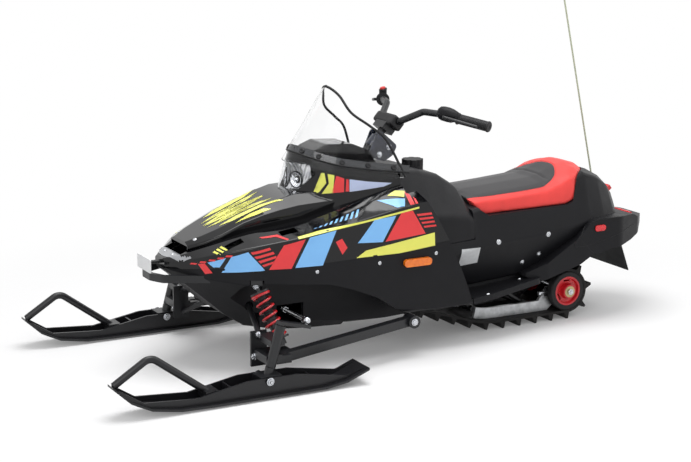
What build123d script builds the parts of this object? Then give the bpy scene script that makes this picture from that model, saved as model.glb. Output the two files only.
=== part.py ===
"""Youth snowmobile: plastic bodywork over a steel tunnel, one rubber track, two steered skis.

Millimetres.  +X is forward, +Y is left, +Z is up, and z = 0 is the ground under skis and track.
Every sub-part is a separate solid, or a set of like solids, written to parts/NAME.step.
"""
from build123d import *
from math import asin, atan2, cos, degrees, hypot, pi, radians, sin
import os

# ---------------------------------------------------------------- driving dimensions
# track and rear skid
TRACK_WIDTH = 254.0          # a ten-inch belt
BELT_THICK = 8.0
LUG_HEIGHT = 21.5
LUG_ROOT = 22.0              # length of a lug along the belt, at its root
LUG_TIP = 7.0
LUG_PITCH = 64.0             # nearest whole number of lugs is used
IDLER_RADIUS = 67.5
IDLER_WIDTH = 30.0
IDLER_X = -700.0
DRIVE_X = 60.0
DRIVE_Z = 232.0
DRIVE_RADIUS = 62.0
BEND_X = -420.0              # where the lower run starts to climb to the drive
BEND_RADIUS = 330.0
SKID_CLEARANCE = 0.3         # between the belt and what runs on it

# tunnel
TUNNEL_SIDE_GAP = 12.0       # between track edge and tunnel side
TUNNEL_SHEET = 3.0
TUNNEL_FRONT = 172.0
TUNNEL_REAR = -880.0
TUNNEL_TOP = 342.0

# skis and steering
SKI_STANCE = 400.0           # centre of each ski from the middle of the machine
SKI_TIP_X = 1045.0
SKI_TAIL_X = 247.0
SKI_WIDTH = 110.0
SKI_SHEET = 7.0
SKI_WALL = 6.0
SKI_CHANNEL = 76.0           # over the two upright walls
KEEL_WIDTH = 14.0
KEEL_DEPTH = 6.0
KING_X, KING_Z = 558.0, 52.0     # the kingpin axis crosses the ski bolt here
KING_RAKE = 15.9             # degrees, top leaning to the rear
KING_PIN = 18.0              # pin diameter
KING_SLEEVE = 30.0           # housing diameter
PIN_CLEARANCE = 0.05         # radial, running fit
STEER_ARM = 92.0
BAR_RAKE = 41.0              # degrees, steering column from the vertical
BAR_X, BAR_Z = -52.0, 692.0  # the column axis crosses the bar clamp here
COLUMN_TUBE = 26.0
PITMAN_ARM = 70.0

# bodywork
SKIN = 4.0                   # plastic panels
FIT = 0.5                    # between bodywork pieces that face each other


# ---------------------------------------------------------------- helpers
def outline(points, radius=0.0):
    """Closed flat face from corner points, each corner rounded by one radius or a list of them."""
    radii = [radius] * len(points) if isinstance(radius, (int, float)) else list(radius)
    if not any(radii):
        return Polygon(*points, align=None)
    return make_face(FilletPolyline(*points, radius=radii, close=True))


def side_slab(points, y_low, y_high, radius=0.0):
    """Outline in X and Z, solid from y_low to y_high."""
    face = Plane.XZ.offset(-y_high) * outline(points, radius)
    return extrude(face, y_high - y_low, dir=(0, -1, 0))


def plan_slab(points, z_low, z_high, radius=0.0):
    """Outline in X and Y, solid from z_low to z_high."""
    face = Plane.XY.offset(z_low) * outline(points, radius)
    return extrude(face, z_high - z_low, dir=(0, 0, 1))


def across(x):
    """Plane across the machine at x, with local X along +Y and local Y along +Z."""
    return Plane(origin=(x, 0, 0), x_dir=(0, 1, 0), z_dir=(1, 0, 0))


def section(x, half):
    """Symmetric section at x from its left half, a list of (y, z, corner radius), bottom first."""
    left = [(y, z) for y, z, _ in half]
    right = [(-y, z) for y, z, _ in reversed(half)]
    radii = [r for _, _, r in half] + [r for _, _, r in reversed(half)]
    return across(x) * outline(left + right, radii)


def eased(table, steps):
    """Rows of a section table with further rows between them, on smooth curves through the given ones."""
    rows = []
    for i in range(len(table) - 1):
        before = table[max(i - 1, 0)]
        start, end = table[i], table[i + 1]
        after = table[min(i + 2, len(table) - 1)]
        for step in range(steps):
            t = step / steps
            x = start[0] + (end[0] - start[0]) * t
            row = [x]
            for a, b, c, d in zip(before[1:], start[1:], end[1:], after[1:]):
                bend_in = (c - a) / (end[0] - before[0]) * (end[0] - start[0])
                bend_out = (d - b) / (after[0] - start[0]) * (end[0] - start[0])
                row.append(
                    b * (2 * t**3 - 3 * t**2 + 1) + bend_in * (t**3 - 2 * t**2 + t)
                    + c * (3 * t**2 - 2 * t**3) + bend_out * (t**3 - t**2)
                )
            rows.append(tuple(row))
    rows.append(tuple(table[-1]))
    return rows


def largest(shape):
    """The biggest solid of a shape, without the offcuts beside it."""
    return Part() + max(shape.solids(), key=lambda solid: solid.volume)


def block(x0, x1, y0, y1, z0, z1):
    """Box between two corners."""
    return Pos((x0 + x1) / 2, (y0 + y1) / 2, (z0 + z1) / 2) * Box(x1 - x0, y1 - y0, z1 - z0)


def rod(start, end, radius):
    """Round bar between two points."""
    axis = Vector(*end) - Vector(*start)
    return extrude(Plane(origin=start, z_dir=axis) * Circle(radius), axis.length)


def tube_along(points, radius, bends):
    """Round bar along straight runs joined by tangent arcs."""
    path = FilletPolyline(*points, radius=bends)
    return sweep(Plane(origin=path @ 0, z_dir=path % 0) * Circle(radius), path=path)


def bar_between(start, end, wide, tall):
    """Rectangular bar between two points, its flat sides upright."""
    axis = Vector(*end) - Vector(*start)
    flat = Vector(0, 0, 1).cross(axis)
    return extrude(Plane(origin=start, x_dir=flat, z_dir=axis) * Rectangle(wide, tall), axis.length)


def right_of(shape):
    """The same piece on the other side of the machine."""
    return mirror(shape, about=Plane.XZ)


def both_sides(shape):
    """A left piece and its right twin."""
    return Compound([shape, right_of(shape)])


# ---------------------------------------------------------------- bodywork hull
# The hood above its seam and the belly pan below it are cut from one hull.
# x, keel y and z, widest low corner y and z, shoulder y and z, deck y and z
HULL = (
    (731, 26, 316, 36, 326, 38, 344, 24, 352),
    (714, 44, 303, 60, 318, 64, 345, 46, 357),
    (684, 64, 280, 94, 311, 98, 352, 70, 367),
    (620, 88, 222, 162, 298, 162, 376, 110, 392),
    (500, 100, 128, 237, 280, 225, 403, 146, 425),
    (300, 118, 97, 255, 235, 246, 428, 160, 450),
    (20, 132, 97, 256, 150, 243, 476, 170, 526),
    (-250, 140, 118, 256, 140, 232, 505, 172, 570),
)
HULL_RADII = (9.0, 8.0, 7.0, 9.0)
SEAM = ((760, 322), (690, 326), (620, 335), (300, 333), (120, 337), (-60, 350), (-260, 362))
REAR_EDGE = ((-20, 566), (-137, 390), (-240, 138))     # arc that ends both side panels


def hull(inset):
    """The bodywork's outer form, or its inside at the given distance."""
    sections = []
    for x, ky, kz, wy, wz, sy, sz, dy, dz in eased(HULL, 2):
        half = (
            (ky - inset / 2, kz + inset, HULL_RADII[0] - inset),
            (wy - inset, wz + inset / 2, HULL_RADII[1] - inset),
            (sy - inset, sz - inset / 2, HULL_RADII[2] - inset),
            (dy - inset / 2, dz - inset, HULL_RADII[3] - inset),
        )
        sections.append(section(x - inset if x == HULL[0][0] else x, half))
    return loft(sections, ruled=True)


def behind_rear_edge():
    """Everything to the rear of the slanted edge where both side panels end."""
    top, middle, low = REAR_EDGE
    edge = ThreePointArc(top, middle, low)
    rest = Polyline(low, (low[0], 0), (-600, 0), (-600, 700), (top[0], 700), top)
    return extrude(Plane.XZ * make_face(edge + rest), 400, both=True)


def below_seam(drop=0.0):
    """Everything under the line where the hood sits on the pan."""
    line = [(x, z - drop) for x, z in SEAM]
    return side_slab(line + [(-260, -50), (760, -50)], -400, 400)


# ---------------------------------------------------------------- belly pan
ARCH = (
    (571, 222), (546, 286), (481, 289), (276, 266), (199, 241),
    (108, 203), (40, 158), (-53, 112), (-80, -60), (590, -60),
)
ARCH_RADII = (40, 26, 120, 120, 120, 120, 60, 30, 0, 0)
ARCH_DEPTH = 106.0           # from the panel's face to the back of the recess
PANEL_Y = 258.0


def arch(grow):
    """The hollow over the left front suspension, or that hollow with its wall."""
    face = outline(ARCH, ARCH_RADII)
    if grow:
        face = offset(face, grow)
    return extrude(Plane.XZ.offset(-PANEL_Y) * face, ARCH_DEPTH + grow, dir=(0, -1, 0))


def make_belly_pan(outer, inner):
    """Lower shell with a recess over each front suspension and a slot for the tunnel."""
    below = below_seam(FIT / 2)
    hollow = arch(0)
    shell = (outer & below) - inner - hollow - right_of(hollow)
    tub = (arch(SKIN) - hollow) & (inner & below)
    shell = shell + tub + right_of(tub)
    shell -= behind_rear_edge()
    half = tunnel_half() + FIT
    shell -= block(-400, TUNNEL_FRONT + FIT, -half, half, -50, 400)
    for start, end in (UPPER_ROD, LOWER_ROD):
        shell -= both_sides(rod(start, end, ROD_RADIUS + 6))
    x, z = ROD_WINDOW
    shell -= both_sides(block(x - 46, x + 46, 130, 200, 40, z + 26))
    shell -= both_sides(hanger(4))
    return shell


# ---------------------------------------------------------------- hood
# x, base y and z, crease y and z, top y and z of the raised centre
DOME = (
    (666, 52, 368, 74, 386, 44, 399),
    (620, 84, 372, 100, 404, 66, 417),
    (574, 104, 376, 113, 422, 76, 435),
    (500, 114, 386, 119, 455, 84, 465),
    (437, 118, 396, 123, 473, 88, 488),
    (380, 122, 406, 126, 484, 90, 508),
    (320, 126, 416, 129, 492, 92, 524),
    (170, 128, 430, 130, 498, 96, 530),
)
DOME_RADII = (2.0, 8.0, 14.0)


def dome(inset):
    """Raised centre of the hood."""
    sections = []
    for x, by, bz, cy, cz, ty, tz in DOME:
        half = (
            (by - inset, bz, DOME_RADII[0]),
            (cy - inset, cz - inset / 2, DOME_RADII[1] - inset),
            (ty - inset / 2, tz - inset, DOME_RADII[2] - inset),
        )
        sections.append(section(x - inset if x == DOME[0][0] else x, half))
    return loft(sections, ruled=True)




def make_hood(outer, inner):
    """Upper shell: deck with side faces, raised centre, nose intake and vents."""
    shell = outer - below_seam(-FIT / 2)
    raised = dome(0.0) - below_seam(-FIT / 2)
    shell += raised
    shell -= inner
    shell -= dome(SKIN)
    for x0, x1, y0, y1, z0, z1 in VENTS:
        pocket = block(x0, x1, y0, y1, z0, z1)
        shell -= both_sides(pocket)
    shell -= side_slab(INTAKE, -INTAKE_HALF, INTAKE_HALF)
    shell -= behind_rear_edge()
    shell -= block(-400, COWL_SEAT_X, -COWL_HALF, COWL_HALF, 440, 700)
    shell -= block(-400, COWL_REAR_X, -200, 200, 500, 700)
    return shell


# dark pockets in the deck: x0, x1, y0, y1, z0, z1 of the left one
VENTS = (
    (526, 580, 148, 174, 376, 440),
    (360, 414, 174, 204, 408, 470),
)
INTAKE = ((706, 366), (600, 350), (600, 388), (700, 388))
INTAKE_HALF = 62.0
COWL_SEAT_X = 200.0
COWL_HALF = 120.0


# ---------------------------------------------------------------- cowl, headlight and screen
# Cowl and screen are slices of two leaning cones with elliptical plans.
CONE_REAR_X = -17.0          # centre of every ellipse
COWL_CONE = ((440.0, 346.0, 168.0), (640.0, 286.0, 152.0))       # z, front x, half width
SCREEN_CONE = ((560.0, 337.0, 176.0), (850.0, 146.5, 88.0))
SCREEN_THICK = 3.0
SCREEN_GAP = 0.5
SCREEN_LAP = 26.0            # how far the screen comes down over the cowl
COWL_TOP = ((287, 640), (221, 616), (170, 603), (92, 590), (0, 577), (-44, 570))
SCREEN_RIM = ((-30, 560), (18, 674), (63, 718), (117, 762), (140, 812), (158, 838))
COWL_REAR_X = -21.5


def cone(levels, grow, rear=CONE_REAR_X):
    """Leaning elliptical cone through two levels, larger or smaller by grow."""
    faces = []
    for z, front, half in levels:
        reach = front - rear + grow
        faces.append(Plane.XY.offset(z) * Pos(rear, 0) * Ellipse(reach, half + grow))
    return loft(faces, ruled=True)


def headlight_zone(grow):
    """Front view of the lamp opening, run through from front to back."""
    face = outline(
        [(96 + grow, 582), (72, 612 + grow), (-72, 612 + grow), (-96 - grow, 582),
         (-58, 522 - grow), (0, 507 - grow), (58, 522 - grow)],
        [22, 30, 30, 22, 40, 80, 40],
    )
    return extrude(across(170) * face, 220)


def make_cowl(hood_top):
    """Upper bodywork under the screen, with the lamp opening in its front."""
    low = side_slab(list(COWL_TOP) + [(-44, 441), (400, 441), (400, 640)], -200, 200)
    outer = cone(COWL_CONE, 0.0) & low
    inner_top = [(x, z - SKIN) for x, z in COWL_TOP]
    low_in = side_slab(inner_top + [(-80, 430), (400, 430), (400, 640)], -200, 200)
    hollow = (cone(COWL_CONE, -SKIN) & low_in) & block(-80, 400, -200, 200, 430, 700)
    shell = outer - hollow
    shell -= headlight_zone(FIT) & block(200, 400, -200, 200, 480, 660)
    shell &= block(COWL_REAR_X, 400, -200, 200, 430, 700)
    shell -= hood_top
    column = column_line(-60, 320)
    shell -= rod(*column, COLUMN_TUBE / 2 + 6)
    return largest(shell)


def make_windshield(cowl):
    """Clear screen, tall in the middle and falling to the cowl at both sides."""
    lap = [(x, z - SCREEN_LAP) for x, z in COWL_TOP]
    sheet = cone(SCREEN_CONE, SCREEN_THICK + SCREEN_GAP) - cone(SCREEN_CONE, SCREEN_GAP)
    keep = side_slab(list(SCREEN_RIM) + [(400, 838), (400, 600)] + lap, -200, 200)
    return (sheet & keep) - cowl


def make_headlight_lens(hood):
    """Clear lamp cover that follows the cowl's front."""
    zone = headlight_zone(0.0) & block(200, 400, -200, 200, 480, 660)
    return largest((zone & (cone(COWL_CONE, 1.5) - cone(COWL_CONE, -1.5))) - hood)


def make_headlight_bowl(hood):
    """Reflector behind the lens, with two round dishes and their bulbs."""
    zone = headlight_zone(-SKIN) & block(254, 400, -200, 200, 480, 660)
    body = (zone & cone(COWL_CONE, -1.5)) - hood
    for y in (-40, 40):
        body -= Pos(330, y, 566) * Sphere(64)
    return largest(body)


# ---------------------------------------------------------------- steering axis
def column_line(above, below):
    """Two points on the steering axis, measured from the bar clamp."""
    lean = Vector(sin(radians(BAR_RAKE)), 0, -cos(radians(BAR_RAKE)))
    clamp = Vector(BAR_X, 0, BAR_Z)
    return clamp + lean * above, clamp + lean * below


def column_plane(distance):
    """Plane square to the steering axis, local X pointing forward."""
    start, end = column_line(distance, distance + 1)
    forward = Vector(cos(radians(BAR_RAKE)), 0, sin(radians(BAR_RAKE)))
    return Plane(origin=start, x_dir=forward, z_dir=end - start)


YOKE_HALF = 40.0             # each tie rod sits this far from the middle
COLUMN_LENGTH = 645.0        # clamp to pitman
NECK_PLATE = 5.0
NECK_HALF = 20.0
NECK = ((22, 604), (-18, 693), (-58, 658), (-86, 633), (-72, 604), (-40, 585))


def make_steering_neck():
    """Two cheek plates and a bushing that carry the top of the column."""
    cheek = side_slab(NECK, NECK_HALF, NECK_HALF + NECK_PLATE, 12)
    neck = both_sides(cheek)
    clearance = COLUMN_TUBE / 2 + 6
    bushing = rod(*column_line(40, 78), COLUMN_TUBE / 2 + PIN_CLEARANCE + 6)
    bushing += block(-64, -14, -NECK_HALF - 1, NECK_HALF + 1, 596, 626)
    bushing -= rod(*column_line(-60, 320), COLUMN_TUBE / 2 + PIN_CLEARANCE)
    neck = neck + bushing
    return neck - rod(*column_line(90, 320), clearance)


def make_steering_column():
    """Tube from the bar clamp to the pitman arm, with the clamp head on top."""
    column = rod(*column_line(0, COLUMN_LENGTH), COLUMN_TUBE / 2)
    head = column_plane(-12) * Pos(0, 0, 12) * Box(46, 64, 24)
    foot = column_plane(COLUMN_LENGTH)
    arm = foot * Pos(-PITMAN_ARM / 2, 0, -5) * Box(PITMAN_ARM, 30, 10)
    yoke = foot * Pos(-PITMAN_ARM, 0, -5) * Box(20, 2 * YOKE_HALF + 20, 10)
    return column + head + arm + yoke


BAR_RADIUS = 11.0
BAR_HALF = ((-66, 0, 716), (-74, 58, 716), (-128, 118, 752), (-152, 190, 752), (-236, 332, 726))
GRIP_START = 0.35            # share of the last bar run where the grip begins


def make_handlebar():
    """Bent tube, one piece from end to end."""
    left = [Vector(*p) for p in BAR_HALF]
    points = [Vector(p.X, -p.Y, p.Z) for p in reversed(left)] + left[1:]
    return tube_along(points[:-1] + [points[-1]], BAR_RADIUS, [30] * (len(points) - 2))


def make_grips():
    """Rubber sleeve at each bar end."""
    inner, end = Vector(*BAR_HALF[3]), Vector(*BAR_HALF[4])
    start = inner + (end - inner) * GRIP_START
    far = end + (end - inner).normalized() * 4
    grip = rod(start, far, 16) - rod(inner, end, BAR_RADIUS)
    return both_sides(grip)


def make_bar_pad():
    """Block pad over the clamp."""
    pad = fillet(Box(50, 116, 38).edges(), 8)
    return column_plane(-25) * pad - make_handlebar() - make_steering_column()


def make_brake_lever():
    """Left perch round the bar with its lever in front of the grip."""
    perch_at, end = Vector(*BAR_HALF[3]), Vector(*BAR_HALF[4])
    along = (end - perch_at).normalized()
    start = perch_at + along * 4
    perch = rod(start, start + along * 34, 19)
    forward = Vector(along.Y, -along.X, 0).normalized()
    root = start + along * 17 + forward * 30
    tip = root + along * 128 + forward * 12
    lever = tube_along([start + along * 17, root, tip], 5.5, [10])
    return perch + lever - rod(perch_at, end, BAR_RADIUS)


def make_switch_block():
    """Right throttle housing with its thumb lever and stop button."""
    perch_at, end = Vector(*BAR_HALF[3]), Vector(*BAR_HALF[4])
    along = (end - perch_at).normalized()
    start = perch_at + along * 4
    housing = rod(start, start + along * 44, 22)
    forward = Vector(along.Y, -along.X, 0).normalized()
    centre = start + along * 22
    housing += rod(centre, centre + Vector(0, 0, 34), 13)
    thumb = tube_along([centre, centre + forward * 26, centre + forward * 34 + along * 62], 5, [10])
    whole = housing + thumb - rod(perch_at, end, BAR_RADIUS)
    return right_of(whole)


# ---------------------------------------------------------------- instruments, tank, seat, rear body
POD = ((252, 612), (232, 646), (186, 664), (96, 658), (34, 632), (4, 580), (60, 560), (240, 590))


def make_instrument_pod(cowl):
    """Raised dashboard between screen and neck."""
    pod = side_slab(POD, -58, 58, [14, 20, 24, 30, 24, 0, 0, 0])
    pod -= rod(*column_line(-60, 320), COLUMN_TUBE / 2 + 6)
    pod -= cone(COWL_CONE, -SKIN) & block(-80, 400, -200, 200, 430, 566)
    return pod - cowl


# x, low y and z, side y and z, top y and z, crown y and z
TANK = (
    (-22, 232, 336, 226, 430, 132, 574),
    (-120, 226, 336, 218, 430, 112, 564),
    (-200, 212, 336, 204, 422, 96, 540),
    (-262, 200, 336, 191, 412, 92, 500),
    (-281, 195, 336, 186, 404, 98, 470),
)
TANK_RADII = (4.0, 50.0, 46.0)


def make_fuel_tank():
    """Tank cover between the cowl and the seat."""
    sections = []
    for x, ly, lz, sy, sz, ty, tz in TANK:
        half = ((ly, lz, TANK_RADII[0]), (sy, sz, TANK_RADII[1]), (ty, tz, TANK_RADII[2]))
        sections.append(section(x, half))
    half = tunnel_half() + FIT
    return loft(sections, ruled=True) - block(-400, 100, -half, half, 0, TUNNEL_TOP + FIT)


CAP_X, CAP_Z, CAP_RADIUS, CAP_HEIGHT = -158.0, 544.0, 35.0, 36.0


def make_fuel_cap(tank):
    """Screw cap with finger lobes."""
    cap = Pos(CAP_X, 0, CAP_Z + CAP_HEIGHT / 2) * Cylinder(CAP_RADIUS, CAP_HEIGHT)
    for turn in range(8):
        a = radians(45 * turn)
        notch = Pos(CAP_X + CAP_RADIUS * 1.1 * cos(a), CAP_RADIUS * 1.1 * sin(a), CAP_Z + CAP_HEIGHT)
        cap -= notch * Cylinder(8, 44)
    return cap - tank


BODY = (
    (-60, 150, 162, 236, 300, 228, 420, 100, 424),
    (-200, 150, 170, 214, 300, 200, 420, 100, 424),
    (-300, 150, 172, 200, 310, 172, 430, 100, 436),
    (-560, 150, 190, 195, 325, 160, 440, 100, 446),
    (-742, 150, 232, 188, 345, 138, 506, 62, 520),
    (-810, 146, 246, 174, 350, 120, 482, 52, 500),
    (-872, 126, 258, 146, 350, 94, 443, 38, 469),
    (-918, 80, 268, 92, 344, 60, 400, 24, 430),
    (-952, 40, 284, 46, 334, 28, 368, 10, 398),
)
BODY_RADII = (14.0, 24.0, 16.0, 8.0)
SEAT_BASE = (
    (-278, 476), (-298, 452), (-316, 424), (-346, 404), (-662, 409), (-706, 426), (-760, 452), (-806, 480),
    (-806, 620), (-281, 620),
)
SEAT_PLAN = (
    (-200, 200), (-640, 200), (-700, 152), (-752, 108), (-788, 60), (-800, 0), (-788, -60), (-752, -108),
    (-700, -152), (-640, -200), (-200, -200),
)


def seat_hollow(grow):
    """Room that the seat sits in: side outline by rounded plan, larger by grow in plan."""
    plan = [(x - grow if x < -640 else x, y) for x, y in SEAT_PLAN]
    return side_slab(SEAT_BASE, -300, 300) & plan_slab(plan, 300, 700)


def make_rear_body(tank):
    """Side panels, seat shelf and tail hump in one moulding over the tunnel."""
    sections = []
    for x, ly, lz, sy, sz, ty, tz, cy, cz in BODY:
        half = ((ly, lz, BODY_RADII[0]), (sy, sz, BODY_RADII[1]), (ty, tz, BODY_RADII[2]), (cy, cz, BODY_RADII[3]))
        sections.append(section(x, half))
    body = loft(sections, ruled=True)
    body -= seat_hollow(FIT)
    body -= block(-281.5, 100, -300, 300, 336 - FIT, 700)
    half = tunnel_half() + FIT
    body -= block(TUNNEL_REAR - FIT, 100, -half, half, 0, TUNNEL_TOP + FIT)
    return body


# x, base y and z, edge y and z, top y and z, crown y and z
SEAT = (
    (-282, 148, 430, 140, 446, 100, 456, 40, 466),
    (-344, 154, 404, 147, 449, 106, 461, 40, 471),
    (-480, 158, 404, 150, 454, 108, 468, 40, 478),
    (-590, 160, 404, 151, 461, 110, 475, 42, 485),
    (-645, 160, 404, 152, 476, 110, 490, 44, 500),
    (-690, 160, 404, 150, 495, 108, 509, 44, 519),
    (-730, 146, 404, 136, 504, 104, 517, 44, 529),
    (-772, 112, 404, 100, 500, 78, 514, 34, 526),
    (-800, 70, 404, 60, 484, 44, 500, 20, 510),
)
SEAT_RADII = (3.0, 9.0, 14.0, 60.0)


def make_seat():
    """Foam seat with a raised bolster at its rear."""
    sections = []
    for x, by, bz, ey, ez, ty, tz, cy, cz in SEAT:
        half = ((by, bz, SEAT_RADII[0]), (ey, ez, SEAT_RADII[1]), (ty, tz, SEAT_RADII[2]), (cy, cz, SEAT_RADII[3]))
        sections.append(section(x, half))
    return loft(sections, ruled=True) & seat_hollow(0.0)


FENDER_PLAN = (
    (-470, 152), (-490, 186), (-560, 206), (-860, 204), (-972, 148), (-1060, 44),
    (-1060, -44), (-972, -148), (-860, -204), (-560, -206), (-490, -186), (-470, -152),
)
FENDER_PLAN_RADII = (0, 10, 60, 60, 60, 40, 40, 60, 60, 60, 10, 0)
FENDER_SIDE = (
    (-470, 190), (-540, 166), (-695, 208), (-745, 236), (-925, 262), (-985, 280), (-1062, 292),
    (-1062, 318), (-988, 326), (-935, 350), (-850, 356), (-742, 356), (-684, 298), (-560, 226),
)
FENDER_SIDE_RADII = (6, 20, 40, 40, 40, 30, 12, 12, 30, 40, 30, 20, 20, 30)


def make_rear_fender(body):
    """Wing that starts at the footboards and wraps round the tail."""
    fender = plan_slab(FENDER_PLAN, 100, 400, FENDER_PLAN_RADII)
    fender &= side_slab(FENDER_SIDE, -300, 300, FENDER_SIDE_RADII)
    fender -= body
    fender -= make_footboards()
    half = tunnel_half() + FIT
    fender -= block(TUNNEL_REAR - FIT, 100, -half, half, 0, 400)
    return fender


# ---------------------------------------------------------------- tunnel, footboards, frame
BOARD_X, BOARD_Z, BOARD_RISE = -294.0, 160.0, 5.1
BOARD_PLAN = ((-244, 0), (-244, 251), (-320, 248), (-545, 204), (-545, 0))
BOARD_SHEET = 3.0
BOARD_LIP = 20.0


def tunnel_half():
    """Half width over the tunnel's outer faces."""
    return TRACK_WIDTH / 2 + TUNNEL_SIDE_GAP + TUNNEL_SHEET


TUNNEL_SIDE = (
    (TUNNEL_FRONT, 128), (TUNNEL_FRONT, TUNNEL_TOP), (TUNNEL_REAR, TUNNEL_TOP),
    (TUNNEL_REAR, 236), (-660, 190), (-560, 150), (-60, 128),
)


def make_tunnel():
    """Folded steel channel that the track runs in, closed at its front."""
    half = tunnel_half()
    channel = side_slab(TUNNEL_SIDE, -half, half)
    inside = half - TUNNEL_SHEET
    room = block(TUNNEL_REAR - 10, TUNNEL_FRONT - TUNNEL_SHEET, -inside, inside, 0, TUNNEL_TOP - TUNNEL_SHEET)
    return channel - room


def make_footboards():
    """Pressed step on each side with a turned-down outer lip."""
    top = plan_slab(BOARD_PLAN, -BOARD_LIP, 0, [0, 0, 20, 30, 0])
    inside = [(x + (4 if x == -545 else 0), y - BOARD_SHEET if y else 0) for x, y in BOARD_PLAN]
    board = top - plan_slab(inside, -BOARD_LIP - 1, -BOARD_SHEET)
    tilt = Pos(BOARD_X, 0, BOARD_Z) * Rot(0, BOARD_RISE, 0) * Pos(-BOARD_X, 0, 0)
    board = tilt * board
    board -= block(-700, 100, -10, tunnel_half(), 0, 400)
    return both_sides(board)


FRAME_HALF = 140.0
FRAME_FRONT = 640.0
FRAME_PLATE = 4.0
TRAY_Z = 224.0
TOWER_Y = 236.0
ROD_WINDOW = (364, 166)      # x and z where the tie rods pass, through slots open below
HANGER = (494, 526, 216, 238)


def hanger(grow):
    """Bracket over the left shock, or the hole for it in the pan."""
    x0, x1, y0, y1 = HANGER
    return block(x0 - grow, x1 + grow, y0 - grow, y1 + grow, 266 - grow, 300)


def make_front_frame(inner):
    """Bulkhead ahead of the tunnel: side plates, engine tray, shock towers, column bearing."""
    side_points = (
        (TUNNEL_FRONT, 150), (TUNNEL_FRONT, 330), (330, 330), (520, 312), (FRAME_FRONT, 300),
        (FRAME_FRONT, 272), (500, 190), (440, 150),
    )
    plate = side_slab(side_points, FRAME_HALF - FRAME_PLATE, FRAME_HALF)
    x, z = ROD_WINDOW
    plate -= block(x - 46, x + 46, 100, 200, 100, z + 26)
    frame = both_sides(plate)
    frame += block(455, 600, -FRAME_HALF, FRAME_HALF, TRAY_Z - FRAME_PLATE, TRAY_Z)
    frame += block(TUNNEL_FRONT, 250, -FRAME_HALF, FRAME_HALF, 150, 154)
    frame += both_sides(block(494, 526, FRAME_HALF - FRAME_PLATE, TOWER_Y, 296, 308))
    frame += both_sides(hanger(0))
    bearing = column_plane(BEARING_AT)
    frame += bearing * Box(40, 2 * FRAME_HALF - 2, 16)
    frame &= inner
    return frame - rod(*column_line(-60, 900), COLUMN_TUBE / 2 + PIN_CLEARANCE)


BEARING_AT = 560.0           # from the bar clamp down the column
ENGINE = (462, 590, 104, 384)    # x0, x1, half width, top z


def make_engine_block():
    """Engine as one plain mass on its tray."""
    x0, x1, half, top = ENGINE
    return block(x0, x1, -half, half, TRAY_Z, top)


# ---------------------------------------------------------------- front suspension
ARM_FRONT = (496, 356, 92)
ARM_PIVOT = (-4, 262, 118)
ARM_TUBE = 28.0
UPRIGHT_Y = 302.0


def king_axis(z):
    """Point on the left kingpin axis at height z."""
    x = KING_X - (z - KING_Z) * KING_SINE / KING_COSINE
    return Vector(x, SKI_STANCE, z)


KING_SINE = sin(radians(KING_RAKE))
KING_COSINE = cos(radians(KING_RAKE))
SLEEVE_LOW, SLEEVE_HIGH = 84.0, 204.0


def make_swing_arms():
    """Trailing arm with its upright plate and kingpin sleeve."""
    sleeve = rod(king_axis(SLEEVE_LOW), king_axis(SLEEVE_HIGH), KING_SLEEVE / 2)
    arm = bar_between(ARM_FRONT, ARM_PIVOT, ARM_TUBE, ARM_TUBE)
    plate = block(516, 568, UPRIGHT_Y - 4, UPRIGHT_Y + 4, 60, 168)
    web = block(508, 560, UPRIGHT_Y, SKI_STANCE - 4, 90, 114)
    web += block(500, 545, UPRIGHT_Y, SKI_STANCE - 4, 140, 160)
    boss = rod((ARM_PIVOT[0], 244, ARM_PIVOT[2]), (ARM_PIVOT[0], 290, ARM_PIVOT[2]), 20)
    link = block(470, 520, 312, 380, 80, 104)
    shelf = block(446, 478, 288, 350, 96, 104)
    arm = sleeve + plate + web + arm + boss + link + shelf
    arm -= rod(king_axis(0), king_axis(300), KING_PIN / 2 + PIN_CLEARANCE)
    return both_sides(arm)


ROD_RADIUS = 8.0
UPPER_ROD = ((541, UPRIGHT_Y + 8, 150), (498, FRAME_HALF - 8, 209))
LOWER_ROD = ((540, UPRIGHT_Y + 8, 74), (469, FRAME_HALF - 8, 172))


def make_radius_rods():
    """Two thin rods a side from the upright to the frame."""
    between = block(300, 700, FRAME_HALF, UPRIGHT_Y - 4, 0, 400)
    rods = [rod(start, end, ROD_RADIUS) & between for start, end in (UPPER_ROD, LOWER_ROD)]
    return Compound(rods + [right_of(r) for r in rods])


SHOCK_TOP = Vector(509, 228, 278)
SHOCK_LOW = Vector(462, 300, 112)
SPRING_RADIUS = 24.0
SPRING_WIRE = 7.0
SPRING_TURNS = 6


def shock_along(share):
    """Point on the left shock's axis, from its lower eye to its upper eye."""
    return SHOCK_LOW + (SHOCK_TOP - SHOCK_LOW) * share


def make_shock_absorbers(frame):
    """Damper body, rod and spring seats, each rod's end seated in its hanger on the frame."""
    body = rod(shock_along(0.0), shock_along(0.45), 15)
    body += rod(shock_along(0.4), shock_along(0.99), 6)
    body += rod(shock_along(0.1), shock_along(0.13), 30)
    body += rod(shock_along(0.9), shock_along(0.93), 30)
    return both_sides(body) - frame


def make_shock_springs():
    """Red coil spring round each damper."""
    low, high = shock_along(0.15), shock_along(0.88)
    axis = high - low
    helix = Helix(pitch=axis.length / SPRING_TURNS, height=axis.length, radius=SPRING_RADIUS)
    wire = Plane(origin=helix @ 0, z_dir=helix % 0) * Circle(SPRING_WIRE / 2)
    coil = sweep(wire, path=helix, is_frenet=True)
    return both_sides(Plane(origin=low, z_dir=axis) * coil)


# ---------------------------------------------------------------- skis
SKI_BOTTOM = ((1045, 92), (1000, 50), (940, 22), (850, 8), (760, 6), (390, 6), (320, 16), (247, 44))
SKI_RIM = ((247, 50), (320, 34), (480, 61), (640, 62), (800, 34), (960, 46), (1038, 96))


def ski_local(points, lift):
    """Ski outline points moved up by lift."""
    return [(x, z + lift) for x, z in points]


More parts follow.
